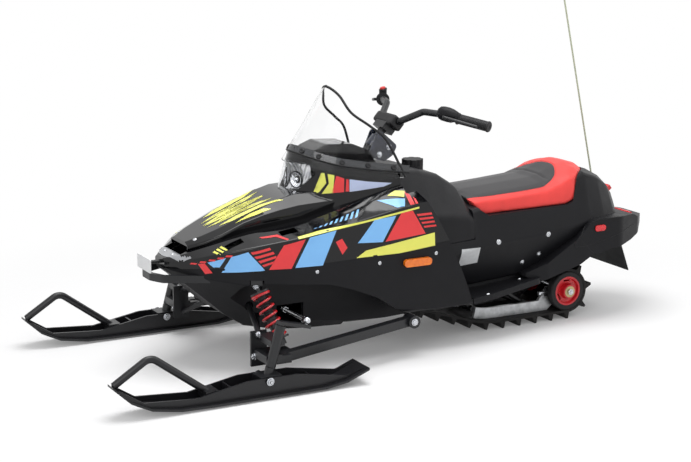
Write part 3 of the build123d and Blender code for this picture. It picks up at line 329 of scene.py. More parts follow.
BUTTON_RED = Finish("button_red", srgb(214, 40, 36), roughness=0.35, coat=0.2, grain_depth=0.05)

NODE_FINISHES: dict[str, Finish] = {
    "steering_neck": STEERING_BLUE, "fuel_cap": SOFT_RUBBER, "tunnel": BLACK_STEEL,
    "footboards": GRAINED_BLACK, "front_frame": BLACK_STEEL, "engine_block": ENGINE_METAL,
    "swing_arms": BLACK_STEEL, "radius_rods": BLACK_STEEL, "shock_absorbers": BLACK_STEEL,
    "shock_springs": SPRING_RED, "track": TRACK_RUBBER, "slide_rails": RAIL_ALUMINIUM,
    "suspension_arms": BLACK_STEEL, "rear_axle": ZINC, "idler_wheels": HUB_RED,
    "idler_tyres": TYRE_RUBBER, "drive_axle": BLACK_STEEL, "snow_flap": FLAP_RUBBER,
    "flag_whip": FIBREGLASS, "front_bumper": BLACK_STEEL,
    "amber_reflectors": AMBER, "red_lenses": RED_LENS, "steering_column": BLACK_STEEL,
    "handlebar": BLACK_STEEL, "brake_lever": BLACK_STEEL, "switch_block": GRAINED_BLACK,
    "left_spindle": BLACK_STEEL, "right_spindle": BLACK_STEEL,
    "left_tie_rod": ZINC, "right_tie_rod": ZINC,
}


# ---------------------------------------------------------------- mesh helpers
def settle(name: str, mesh: bpy.types.Mesh, finish: Finish, body: str) -> bpy.types.Object:
    """A finished piece: linked, dressed and riding on its body.

    Args:
        name: the piece's name.
        mesh: its mesh, in metres in the machine's frame.
        finish: what its surface is.
        body: the body that carries it.

    Returns:
        The piece's object.
    """
    piece = bpy.data.objects.new(name, mesh)
    bpy.context.scene.collection.objects.link(piece)
    if not mesh.materials:
        mesh.materials.append(finish.material())
    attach(piece, body)
    LOG.info("%s: %d faces on %s", name, len(mesh.polygons), body)
    return piece


def mesh_of(name: str, shape: bmesh.types.BMesh, angle: float = 35.0) -> bpy.types.Mesh:
    """Turn a bmesh into a mesh that is shaded smooth up to an angle in degrees."""
    limit = math.radians(angle)
    for face in shape.faces:
        face.smooth = True
    for edge in shape.edges:
        if len(edge.link_faces) == 2:
            edge.smooth = edge.calc_face_angle(0.0) < limit
    mesh = bpy.data.meshes.new(name)
    shape.to_mesh(mesh)
    shape.free()
    return mesh


def lathe(profile: list[Pair], turns: int = 24) -> bmesh.types.BMesh:
    """Turned form about Z through (radius, height) points, closed at its poles.

    Args:
        profile: radius and height of each ring, from the bottom up.
        turns: how many faces go round.

    Returns:
        The turned shape.
    """
    shape = bmesh.new()
    rings: list[list[bmesh.types.BMVert]] = []
    for radius, height in profile:
        if radius <= 0:
            rings.append([shape.verts.new((0, 0, height))])
            continue
        ring = []
        for step in range(turns):
            angle = math.tau * step / turns
            ring.append(shape.verts.new((radius * math.cos(angle), radius * math.sin(angle), height)))
        rings.append(ring)
    for low, high in zip(rings, rings[1:]):
        for step in range(turns):
            after = (step + 1) % turns
            corners = [low[step % len(low)], low[after % len(low)], high[after % len(high)], high[step % len(high)]]
            unique = list(dict.fromkeys(corners))
            if len(unique) > 2:
                shape.faces.new(unique)
    bmesh.ops.recalc_face_normals(shape, faces=shape.faces)
    return shape


def moved(shape: bmesh.types.BMesh, place: Matrix) -> bmesh.types.BMesh:
    """The same shape, put in its place."""
    bmesh.ops.transform(shape, matrix=place, verts=shape.verts)
    return shape


def joined(shapes: list[bmesh.types.BMesh]) -> bmesh.types.BMesh:
    """Several shapes in one bmesh."""
    whole = bmesh.new()
    for shape in shapes:
        carrier = bpy.data.meshes.new("carrier")
        shape.to_mesh(carrier)
        shape.free()
        whole.from_mesh(carrier)
        bpy.data.meshes.remove(carrier)
    return whole


def facing(point: Vector, normal: Vector, along: Vector | None = None) -> Matrix:
    """Frame at a point with Z along the normal and X as near as can be to along."""
    up = normal.normalized()
    hint = along if along is not None else Vector((1.0, 0.0, 0.0))
    if abs(up.dot(hint.normalized())) > 0.95:
        hint = Vector((0.0, 0.0, 1.0))
    side = up.cross(hint).normalized()
    front = side.cross(up).normalized()
    turn = Matrix((front, side, up)).transposed().to_4x4()
    return Matrix.Translation(point) @ turn


def tube(points: list[Vector], radius: float, sides: int = 12, closed: bool = False) -> bmesh.types.BMesh:
    """Round bar along a path, its ends closed.

    Args:
        points: the path.
        radius: radius of the bar.
        sides: faces round the bar.
        closed: whether the path is a ring.

    Returns:
        The bar.
    """
    shape = bmesh.new()
    count = len(points)
    rings = []
    hint = Vector((0.0, 0.0, 1.0))
    for step, point in enumerate(points):
        before = points[(step - 1) % count] if closed or step else point
        after = points[(step + 1) % count] if closed or step < count - 1 else point
        run = (after - before).normalized()
        side = run.cross(hint)
        if side.length < 0.05:
            side = run.cross(Vector((1.0, 0.0, 0.0)))
        side.normalize()
        hint = side.cross(run)
        ring = []
        for turn in range(sides):
            angle = math.tau * turn / sides
            ring.append(shape.verts.new(point + (side * math.cos(angle) + hint * math.sin(angle)) * radius))
        rings.append(ring)
    pairs = list(zip(rings, rings[1:]))
    if closed:
        pairs.append((rings[-1], rings[0]))
    for low, high in pairs:
        for turn in range(sides):
            after = (turn + 1) % sides
            shape.faces.new((low[turn], low[after], high[after], high[turn]))
    if not closed:
        shape.faces.new(rings[0])
        shape.faces.new(rings[-1])
    bmesh.ops.recalc_face_normals(shape, faces=shape.faces)
    return shape


def rounded_path(points: list[Vector], bend: float, steps: int = 6) -> list[Vector]:
    """Path with each inner corner eased over the given distance."""
    path = [points[0]]
    for before, corner, after in zip(points, points[1:], points[2:]):
        reach = min(bend, (corner - before).length / 2, (after - corner).length / 2)
        start = corner + (before - corner).normalized() * reach
        end = corner + (after - corner).normalized() * reach
        for step in range(steps + 1):
            share = step / steps
            path.append(start * (1 - share) ** 2 + corner * 2 * share * (1 - share) + end * share**2)
    path.append(points[-1])
    return path


def slab(points: list[Pair], thickness: float, bevel: float = 0.0) -> bmesh.types.BMesh:
    """Flat plate of an outline in its own X and Y, Z up from zero, its upper edge eased."""
    shape = bmesh.new()
    base = [shape.verts.new((x, y, 0.0)) for x, y in points]
    face = shape.faces.new(base)
    raised = bmesh.ops.extrude_face_region(shape, geom=[face])
    top = [part for part in raised["geom"] if isinstance(part, bmesh.types.BMVert)]
    bmesh.ops.translate(shape, vec=(0.0, 0.0, thickness), verts=top)
    if bevel:
        rim = [edge for edge in shape.edges if all(vert in top for vert in edge.verts)]
        bmesh.ops.bevel(shape, geom=rim, offset=bevel, segments=2, affect="EDGES", profile=0.6)
    bmesh.ops.recalc_face_normals(shape, faces=shape.faces)
    return shape


def rounded_rectangle(width: float, height: float, radius: float, steps: int = 5) -> list[Pair]:
    """Corners of a rectangle about the origin, each one rounded."""
    points = []
    for turn, (sx, sy) in enumerate(((1, 1), (-1, 1), (-1, -1), (1, -1))):
        cx, cy = sx * (width / 2 - radius), sy * (height / 2 - radius)
        for step in range(steps + 1):
            angle = math.pi / 2 * (turn + step / steps)
            points.append((cx + radius * math.cos(angle), cy + radius * math.sin(angle)))
    return points


class Skins:
    """Surfaces that small fittings are seated on, found by casting rays at CAD nodes."""

    def __init__(self) -> None:
        """Start with no surface looked up."""
        self._trees: dict[tuple[str, ...], BVHTree] = {}

    def tree(self, *nodes: str) -> BVHTree:
        """Search tree over the meshes of some nodes."""
        if nodes not in self._trees:
            verts: list[Vector] = []
            faces: list[tuple[int, ...]] = []
            for node in nodes:
                mesh = bpy.data.objects[node].data
                start = len(verts)
                verts.extend(vert.co.copy() for vert in mesh.vertices)
                faces.extend(tuple(start + index for index in face.vertices) for face in mesh.polygons)
            self._trees[nodes] = BVHTree.FromPolygons(verts, faces)
        return self._trees[nodes]

    def hit(self, origin: Vector, toward: Vector, *nodes: str) -> tuple[Vector, Vector] | None:
        """Where a ray first meets the nodes, and the normal there that faces the ray."""
        point, normal, _, _ = self.tree(*nodes).ray_cast(origin, toward.normalized())
        if point is None:
            return None
        if normal.dot(toward) > 0:
            normal = -normal
        return point, normal

    def from_side(self, side: Side, x: float, z: float, *nodes: str) -> tuple[Vector, Vector] | None:
        """Point of a side surface at x and z, in millimetres."""
        return self.hit(Vector((x * MM, side.value * 0.6, z * MM)), Vector((0, -side.value, 0)), *nodes)

    def from_above(self, x: float, y: float, *nodes: str) -> tuple[Vector, Vector] | None:
        """Point of a top surface at x and y, in millimetres."""
        return self.hit(Vector((x * MM, y * MM, 1.2)), Vector((0, 0, -1)), *nodes)


# ---------------------------------------------------------------- repeated fittings
@dataclass
class Seat3:
    """One place for a fitting: where it sits, where it faces and how it is turned."""

    point: Vector
    normal: Vector
    along: Vector
    size: float = 1.0


class FittingTree:
    """Geometry Nodes tree that seats copies of one small form on points."""

    def __init__(self) -> None:
        """Build the tree with its named inputs."""
        self.tree = bpy.data.node_groups.new("seated_fittings", "GeometryNodeTree")
        face = self.tree.interface
        face.new_socket("Places", in_out="INPUT", socket_type="NodeSocketGeometry")
        face.new_socket("Fitting", in_out="INPUT", socket_type="NodeSocketObject")
        face.new_socket("Size", in_out="INPUT", socket_type="NodeSocketFloat")
        face.new_socket("Finish", in_out="INPUT", socket_type="NodeSocketMaterial")
        face.new_socket("Fittings", in_out="OUTPUT", socket_type="NodeSocketGeometry")
        nodes, links = self.tree.nodes, self.tree.links
        given = nodes.new("NodeGroupInput")
        result = nodes.new("NodeGroupOutput")
        form = nodes.new("GeometryNodeObjectInfo")
        spread = nodes.new("GeometryNodeInstanceOnPoints")
        turn = nodes.new("FunctionNodeAxesToRotation")
        turn.primary_axis, turn.secondary_axis = "Z", "X"
        scale = nodes.new("ShaderNodeMath")
        scale.operation = "MULTIPLY"
        real = nodes.new("GeometryNodeRealizeInstances")
        dress = nodes.new("GeometryNodeSetMaterial")
        links.new(given.outputs["Places"], spread.inputs["Points"])
        links.new(given.outputs["Fitting"], form.inputs["Object"])
        links.new(form.outputs["Geometry"], spread.inputs["Instance"])
        links.new(self._attribute("facing", "FLOAT_VECTOR"), turn.inputs["Primary Axis"])
        links.new(self._attribute("along", "FLOAT_VECTOR"), turn.inputs["Secondary Axis"])
        links.new(turn.outputs["Rotation"], spread.inputs["Rotation"])
        links.new(self._attribute("size", "FLOAT"), scale.inputs[0])
        links.new(given.outputs["Size"], scale.inputs[1])
        links.new(scale.outputs["Value"], spread.inputs["Scale"])
        links.new(spread.outputs["Instances"], real.inputs["Geometry"])
        links.new(real.outputs["Geometry"], dress.inputs["Geometry"])
        links.new(given.outputs["Finish"], dress.inputs["Material"])
        links.new(dress.outputs["Geometry"], result.inputs["Fittings"])

    def _attribute(self, name: str, kind: str) -> bpy.types.NodeSocket:
        """Output of a named attribute of the places."""
        node = self.tree.nodes.new("GeometryNodeInputNamedAttribute")
        node.data_type = kind
        node.inputs["Name"].default_value = name
        return node.outputs["Attribute"]

    def _identifier(self, name: str) -> str:
        """Identifier of an input socket, by its name."""
        for item in self.tree.interface.items_tree:
            if item.name == name and item.in_out == "INPUT":
                return item.identifier
        raise KeyError(name)

    def fit(self, name: str, form: bmesh.types.BMesh, places: list[Seat3], finish: Finish,
            body: str, size: float = 1.0) -> bpy.types.Object | None:
        """Seat copies of a form and keep the result as one plain mesh.

        Args:
            name: the piece's name.
            form: the fitting, Z pointing away from what it sits on.
            places: where the copies go.
            finish: their finish.
            body: the body that carries them.
            size: scale of every copy.

        Returns:
            The piece, or None where there is no place.
        """
        if not places:
            return None
        template = bpy.data.objects.new(name + "_form", mesh_of(name + "_form", form))
        bpy.context.scene.collection.objects.link(template)
        points = bpy.data.meshes.new(name + "_places")
        points.from_pydata([tuple(place.point) for place in places], [], [])
        for title, kind, values in (
            ("facing", "FLOAT_VECTOR", [part for place in places for part in place.normal]),
            ("along", "FLOAT_VECTOR", [part for place in places for part in place.along]),
            ("size", "FLOAT", [place.size for place in places]),
        ):
            layer = points.attributes.new(title, kind, "POINT")
            layer.data.foreach_set("vector" if kind == "FLOAT_VECTOR" else "value", values)
        holder = bpy.data.objects.new(name + "_holder", points)
        bpy.context.scene.collection.objects.link(holder)
        modifier = holder.modifiers.new("fittings", "NODES")
        modifier.node_group = self.tree
        modifier[self._identifier("Fitting")] = template
        modifier[self._identifier("Size")] = size
        modifier[self._identifier("Finish")] = finish.material()
        graph = bpy.context.evaluated_depsgraph_get()
        mesh = bpy.data.meshes.new_from_object(holder.evaluated_get(graph))
        mesh.name = name
        holder.modifiers.remove(modifier)
        for spare in (holder, template):
            data = spare.data
            bpy.data.objects.remove(spare)
            bpy.data.meshes.remove(data)
        for title in ("facing", "along", "size"):
            if title in mesh.attributes:
                mesh.attributes.remove(mesh.attributes[title])
        return settle(name, mesh, finish, body)


class HeadForm(Enum):
    """Small turned forms that hold panels and joints together."""

    PAN = "pan"
    WASHERED = "washered"
    HEX = "hex"
    GROMMET = "grommet"
    STUD = "stud"

    def shape(self, radius: float) -> bmesh.types.BMesh:
        """The form at a given radius in metres, its seat a little below zero."""
        if self is HeadForm.HEX:
            return self._hexagon(radius)
        profiles: dict[HeadForm, list[Pair]] = {
            HeadForm.PAN: [
                (0.0, -0.15), (0.95, -0.15), (1.0, 0.06), (0.94, 0.26), (0.72, 0.42), (0.42, 0.5),
                (0.36, 0.48), (0.3, 0.28), (0.0, 0.24),
            ],
            HeadForm.WASHERED: [
                (0.0, -0.12), (1.3, -0.12), (1.36, 0.02), (1.3, 0.12), (0.86, 0.15), (0.84, 0.34),
                (0.66, 0.5), (0.34, 0.56), (0.26, 0.36), (0.0, 0.32),
            ],
            HeadForm.GROMMET: [
                (0.0, -0.2), (1.0, -0.2), (1.04, 0.1), (0.92, 0.34), (0.6, 0.46), (0.4, 0.36), (0.0, 0.34),
            ],
            HeadForm.STUD: [(0.0, -0.2), (1.0, -0.2), (0.98, 0.2), (0.7, 0.5), (0.0, 0.55)],
        }
        scaled = [(r * radius, h * radius) for r, h in profiles[self]]
        return lathe(scaled, 16)

    def _hexagon(self, radius: float) -> bmesh.types.BMesh:
        """Nut with chamfered corners on a flat washer, with the thread's end showing."""
        washer = lathe([(0.0, -0.1 * radius), (1.25 * radius, -0.1 * radius), (1.28 * radius, 0.06 * radius),
                        (1.2 * radius, 0.12 * radius), (0.0, 0.12 * radius)], 20)
        nut = lathe([(0.0, 0.1 * radius), (0.92 * radius, 0.1 * radius), (1.0 * radius, 0.2 * radius),
                     (1.0 * radius, 0.66 * radius), (0.88 * radius, 0.76 * radius), (0.5 * radius, 0.76 * radius),
                     (0.5 * radius, 0.98 * radius), (0.42 * radius, 1.06 * radius), (0.0, 1.06 * radius)], 6)
        return joined([washer, nut])


# ---------------------------------------------------------------- studio
@dataclass
class Studio:
    """Pale floor, soft lamps, white surroundings and the camera."""

    eye: Triple = (2.5775, 4.7028, 1.5564)
    pitch: float = 12.634
    heading: float = 27.887
    lens: float = 88.11
    floor_size: float = 14.0
    fade_start: float = 0.7
    fade_end: float = 2.0
    lamps: tuple[tuple[Triple, float, float], ...] = (
        ((0.2, 0.1, 3.6), 2.4, 92.0),
        ((2.2, 2.8, 2.4), 2.2, 30.0),
        ((-2.6, 1.4, 2.6), 2.0, 22.0),
    )

    def build(self) -> None:
        """Make the whole studio."""
        bpy.context.scene.view_settings.view_transform = "Standard"
        self._camera()
        self._world()
        self._floor()
        for step, (place, size, power) in enumerate(self.lamps):
            self._lamp(f"softbox_{step}", Vector(place), size, power)

    def _camera(self) -> None:
        """Camera at the viewing angle that the machine is shown from."""
        data = bpy.data.cameras.new("camera")
        data.lens = self.lens
        data.sensor_width = 36.0
        data.clip_end = 60.0
        camera = bpy.data.objects.new("camera", data)
        bpy.context.scene.collection.objects.link(camera)
        camera.location = self.eye
        camera.rotation_euler = (math.radians(90 - self.pitch), 0.0, math.radians(180 - self.heading))
        bpy.context.scene.camera = camera

    def _lamp(self, name: str, place: Vector, size: float, power: float) -> None:
        """Square softbox that faces the middle of the machine."""
        data = bpy.data.lights.new(name, "AREA")
        data.shape = "SQUARE"
        data.size = size
        data.energy = power
        lamp = bpy.data.objects.new(name, data)
        bpy.context.scene.collection.objects.link(lamp)
        lamp.location = place
        aim = Vector((0.0, 0.0, 0.35)) - place
        lamp.rotation_euler = aim.to_track_quat("-Z", "Y").to_euler()

    def _white_for_view(self, tree: bpy.types.NodeTree) -> bpy.types.NodeSocket:
        """One where a camera, glossy or transmission ray looks, otherwise nought."""
        path = tree.nodes.new("ShaderNodeLightPath")
        first = tree.nodes.new("ShaderNodeMath")
        first.operation = "MAXIMUM"
        both = tree.nodes.new("ShaderNodeMath")
        both.operation = "MAXIMUM"
        tree.links.new(path.outputs["Is Camera Ray"], first.inputs[0])
        tree.links.new(path.outputs["Is Glossy Ray"], first.inputs[1])
        tree.links.new(first.outputs["Value"], both.inputs[0])
        tree.links.new(path.outputs["Is Transmission Ray"], both.inputs[1])
        return both.outputs["Value"]

    def _world(self) -> None:
        """Surroundings that light the machine softly and look white."""
        world = bpy.data.worlds.new("studio")
        bpy.context.scene.world = world
        world.use_nodes = True
        tree = world.node_tree
        soft = tree.nodes["Background"]
        soft.inputs["Color"].default_value = (1.0, 1.0, 1.0, 1.0)
        soft.inputs["Strength"].default_value = 0.42
        white = tree.nodes.new("ShaderNodeBackground")
        white.inputs["Color"].default_value = (1.0, 1.0, 1.0, 1.0)
        choose = tree.nodes.new("ShaderNodeMixShader")
        tree.links.new(self._white_for_view(tree), choose.inputs["Fac"])
        tree.links.new(soft.outputs["Background"], choose.inputs[1])
        tree.links.new(white.outputs["Background"], choose.inputs[2])
        tree.links.new(choose.outputs["Shader"], tree.nodes["World Output"].inputs["Surface"])

    def _far(self, tree: bpy.types.NodeTree) -> bpy.types.NodeSocket:
        """How far out on the floor a viewed point is, from nought near the machine to one."""
        where = tree.nodes.new("ShaderNodeTexCoord")
        reach = tree.nodes.new("ShaderNodeVectorMath")
        reach.operation = "LENGTH"
        span = tree.nodes.new("ShaderNodeMapRange")
        span.interpolation_type = "SMOOTHSTEP"
        span.inputs["From Min"].default_value = self.fade_start
        span.inputs["From Max"].default_value = self.fade_end
        viewed = tree.nodes.new("ShaderNodeMath")
        viewed.operation = "MULTIPLY"
        tree.links.new(where.outputs["Object"], reach.inputs[0])
        tree.links.new(reach.outputs["Value"], span.inputs["Value"])
        tree.links.new(span.outputs["Result"], viewed.inputs[0])
        tree.links.new(self._white_for_view(tree), viewed.inputs[1])
        return viewed.outputs["Value"]

    def _floor(self) -> None:
        """Floor that reads white and still takes the machine's shadow."""
        half = self.floor_size / 2
        shape = bmesh.new()
        shape.faces.new([shape.verts.new((x, y, -0.0005)) for x, y in
                         ((-half, -half), (half, -half), (half, half), (-half, half))])
        floor = bpy.data.objects.new("studio_floor", mesh_of("studio_floor", shape))
        bpy.context.scene.collection.objects.link(floor)
        made = bpy.data.materials.new("floor_paper")
        made.use_nodes = True
        tree = made.node_tree
        tree.nodes.remove(tree.nodes["Principled BSDF"])
        paper = tree.nodes.new("ShaderNodeBsdfDiffuse")
        paper.inputs["Color"].default_value = (0.84, 0.84, 0.845, 1.0)
        lift = tree.nodes.new("ShaderNodeEmission")
        share = tree.nodes.new("ShaderNodeMath")
        share.operation = "MULTIPLY"
        share.inputs[1].default_value = 0.12
        tree.links.new(self._white_for_view(tree), share.inputs[0])
        tree.links.new(share.outputs["Value"], lift.inputs["Strength"])
        total = tree.nodes.new("ShaderNodeAddShader")
        tree.links.new(paper.outputs["BSDF"], total.inputs[0])
        tree.links.new(lift.outputs["Emission"], total.inputs[1])
        white = tree.nodes.new("ShaderNodeEmission")
        fade = tree.nodes.new("ShaderNodeMixShader")
        tree.links.new(self._far(tree), fade.inputs["Fac"])
        tree.links.new(total.outputs["Shader"], fade.inputs[1])
        tree.links.new(white.outputs["Emission"], fade.inputs[2])
        tree.links.new(fade.outputs["Shader"], tree.nodes["Material Output"].inputs["Surface"])
        floor.data.materials.append(made)


# ---------------------------------------------------------------- bodywork
@dataclass
class Bodywork:
    """Moulded shells, each a smoothly shaded skin over its own CAD node."""

    shells: tuple[tuple[str, str, Finish, str, float], ...] = (
        ("hood", "hood_shell", GLOSS_BLACK, "black_gloss", 24.0),
        ("cowl", "cowl_shell", GLOSS_BLACK, "black_gloss", 30.0),
        ("belly_pan", "belly_pan_shell", GRAINED_BLACK, "black_matte", 30.0),
        ("rear_body", "rear_body_shell", GRAINED_BLACK, "black_matte", 40.0),
        ("fuel_tank", "fuel_tank_shell", GRAINED_BLACK, "black_matte", 40.0),
        ("rear_fender", "rear_fender_shell", GRAINED_BLACK, "black_matte", 34.0),
        ("windshield", "windshield_pane", SCREEN_CLEAR, "clear", 40.0),
        ("headlight_lens", "headlight_cover", LAMP_GLASS, "lamp_glass", 50.0),
        ("headlight_bowl", "headlight_mirror", MIRROR, "reflector", 40.0),
        ("instrument_pod", "instrument_housing", GLOSS_BLACK, "black_matte", 34.0),
    )
    skis: tuple[str, ...] = ("ski", "ski_loop")
    plate_back: float = 0.7796
    eased: dict[str, float] = field(default_factory=lambda: {"rear_fender": 0.007, "instrument_pod": 0.006})

    def build(self) -> None:
        """Dress every shell."""
        for node, name, finish, slot, angle in self.shells:
            self.skin(node, name, finish, angle, CHASSIS, self.eased.get(node, 0.0))
        plate = self.skin("number_plate", "blank_plate", PLATE_WHITE, 34.0, CHASSIS)
        plate.data.materials.append(BLACK_STEEL.material())
        for face in plate.data.polygons:
            face.material_index = int(face.center.x < self.plate_back)
        for side in Side:
            for kind in self.skis:
                node = f"{side.word}_{kind}"
                body = f"{side.word}_ski_assembly"
                self.skin(node, f"{node}_moulding", SKI_PLASTIC, 34.0, body)

    def skin(self, node: str, name: str, finish: Finish, angle: float, body: str,
             ease: float = 0.0) -> bpy.types.Object:
        """Copy a node's mesh, join its loose triangles and shade it smooth up to an angle.

        Args:
            node: the CAD node that the skin stands for.
            name: the skin's name.
            finish: its finish.
            angle: edges sharper than this many degrees stay sharp.
            body: the body that carries it.
            ease: how far its sharp edges are rounded, in metres.

        Returns:
            The skin.
        """
        shape = bmesh.new()
        shape.from_mesh(bpy.data.objects[node].data)
        bmesh.ops.remove_doubles(shape, verts=shape.verts, dist=0.00001)
        bmesh.ops.dissolve_degenerate(shape, dist=0.00001, edges=shape.edges)
        if ease:
            self._round(shape, ease)
        mesh = mesh_of(name, shape, angle)
        if "custom_normal" in mesh.attributes:
            mesh.attributes.remove(mesh.attributes["custom_normal"])
        mesh.materials.clear()
        piece = settle(name, mesh, finish, body)
        weigh = piece.modifiers.new("even_shading", "WEIGHTED_NORMAL")
        weigh.keep_sharp = True
        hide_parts(node)
        return piece


    def _round(self, shape: bmesh.types.BMesh, ease: float) -> None:
        """Round the outward edges of a moulding where two broad faces meet."""
        bmesh.ops.dissolve_limit(shape, angle_limit=math.radians(1.0), verts=shape.verts, edges=shape.edges)
        sharp = [edge for edge in shape.edges if len(edge.link_faces) == 2 and edge.is_convex
                 and edge.calc_face_angle(0.0) > math.radians(28) and edge.calc_length() > ease]
        bmesh.ops.bevel(shape, geom=sharp, offset=ease, segments=3, affect="EDGES", profile=0.5, clamp_overlap=True)
        bmesh.ops.triangulate(shape, faces=shape.faces)


class View(Enum):
    """Ways a flat drawing is laid onto the bodywork, as its direction and its second axis."""

    SIDE = ((0.0, -1.0, 0.0), (0.0, 0.0, 1.0))
    DECK = ((0.0, -0.7071, -0.7071), (0.0, -0.7071, 0.7071))
    TOP = ((0.0, 0.0, -1.0), (0.0, 1.0, 0.0))


@dataclass
class Shard:
    """One flat patch of print: where it is laid and its corners in millimetres."""

    view: View
    corners: list[Pair]
    nodes: tuple[str, ...] = ("hood",)
    below: float = 9.0


def bars(view: View, start: Pair, step: Pair, size: Pair, lean: float, count: int,
         growth: float = 1.0, nodes: tuple[str, ...] = ("hood",)) -> list[Shard]:
    """Row of slanted bars that grow from one to the next.

    Args:
        view: how they are laid.
        start: lower front corner of the first.
        step: from one bar to the next.
        size: width and height of the first.
        lean: how far each bar's top is shifted back.
        count: how many there are.
        growth: how much larger each bar is than the one before.
        nodes: what they are laid on.

    Returns:
        The bars.
    """
    row = []
    for index in range(count):
        scale = growth**index
        x, v = start[0] + step[0] * index, start[1] + step[1] * index
        wide, high = size[0] * min(scale, 1.6), size[1] * scale
        shift = lean * scale
        row.append(Shard(view, [(x, v), (x - wide, v), (x - wide - shift, v + high), (x - shift, v + high)], nodes))
    return row


@dataclass
class Graphics:
    """Printed film on the bodywork: shards, bars and a plain banner in four colours."""

    lift: float = 0.0008
    grid: float = 5.0
    gap_depth: float = 0.004
    artwork: dict[str, list[Shard]] = field(default_factory=dict)

    def build(self, skins: Skins) -> None:
        """Lay each colour's shards on both sides as one piece."""
        for name, finish in (("red", PRINT_RED), ("blue", PRINT_BLUE), ("yellow", PRINT_YELLOW),
                             ("pale", PRINT_PALE), ("deck", DECK_GREY), ("data_plate", DATA_GREY)):
            shapes = []
            for shard in self.artwork.get(name, []):
                for side in Side:
                    shapes.append(self._lay(shard, side, skins))
            if shapes:
                settle(f"print_{name}", mesh_of(f"print_{name}", joined(shapes), 60.0), finish, CHASSIS)

    def _fill(self, missed: set[bmesh.types.BMVert]) -> None:
        """Place corners that met nothing between the ones beside them, where most of those met the shell."""
        for vert in list(missed):
            beside = [edge.other_vert(vert) for edge in vert.link_edges]
            met = [other.co for other in beside if other not in missed]
            if len(met) * 2 >= len(beside) and len(met) > 2:
                vert.co = sum(met, Vector()) / len(met)
                missed.discard(vert)

    def _bridge(self, film: bmesh.types.BMesh, toward: Vector) -> None:
        """Lift corners that fell into a panel gap back to the level of those beside them."""
        depth = {vert: vert.co.dot(toward) for vert in film.verts}
        for vert in film.verts:
            beside = [edge.other_vert(vert) for edge in vert.link_edges]
            if len(beside) < 2:
                continue
            middle = sorted(depth[other] for other in beside)[(len(beside) - 1) // 2]
            if depth[vert] - middle < self.gap_depth:
                continue
            near = [other.co for other in beside if depth[other] - middle < self.gap_depth]
            level = sum((co.dot(toward) for co in near), 0.0) / len(near)
            vert.co += toward * (level - depth[vert])

    def _lay(self, shard: Shard, side: Side, skins: Skins) -> bmesh.types.BMesh:
        """One shard cut into a fine net and dropped onto the bodywork."""
        toward = Vector(shard.view.value[0])
        up = Vector(shard.view.value[1])
        if shard.view is View.TOP:
            up = up * side.value
        else:
            toward.y *= side.value
            up.y *= side.value
        flat = bmesh.new()
        flat.faces.new([flat.verts.new((x, v, 0.0)) for x, v in shard.corners])
        bmesh.ops.triangulate(flat, faces=flat.faces)
        for axis in (0, 1):
            values = [corner[axis] for corner in shard.corners]
            cut = math.floor(min(values) / self.grid) * self.grid + self.grid
            while cut < max(values):
                point = [0.0, 0.0, 0.0]
                point[axis] = cut
                normal = [0.0, 0.0, 0.0]
                normal[axis] = 1.0
                geometry = list(flat.verts) + list(flat.edges) + list(flat.faces)
                bmesh.ops.bisect_plane(flat, geom=geometry, dist=0.0001, plane_co=point, plane_no=normal)
                cut += self.grid
        missed = set()
        for vert in flat.verts:
            start = Vector((vert.co.x * MM, 0.0, 0.0)) + up * (vert.co.y * MM) - toward * 1.4
            found = skins.hit(start, toward, *shard.nodes)
            if found is None or found[0].z > shard.below:
                missed.add(vert)
                continue
            vert.co = found[0] + found[1] * self.lift
        self._fill(missed)
        bmesh.ops.delete(flat, geom=list(missed), context="VERTS")
        self._bridge(flat, toward)
        stray = [face for face in flat.faces if max(
            edge.calc_length() for edge in face.edges) > 0.03]
        bmesh.ops.delete(flat, geom=stray, context="FACES")
        bmesh.ops.recalc_face_normals(flat, faces=flat.faces)
        for face in flat.faces:
            if face.normal.dot(toward) > 0:
                face.normal_flip()
        return flat


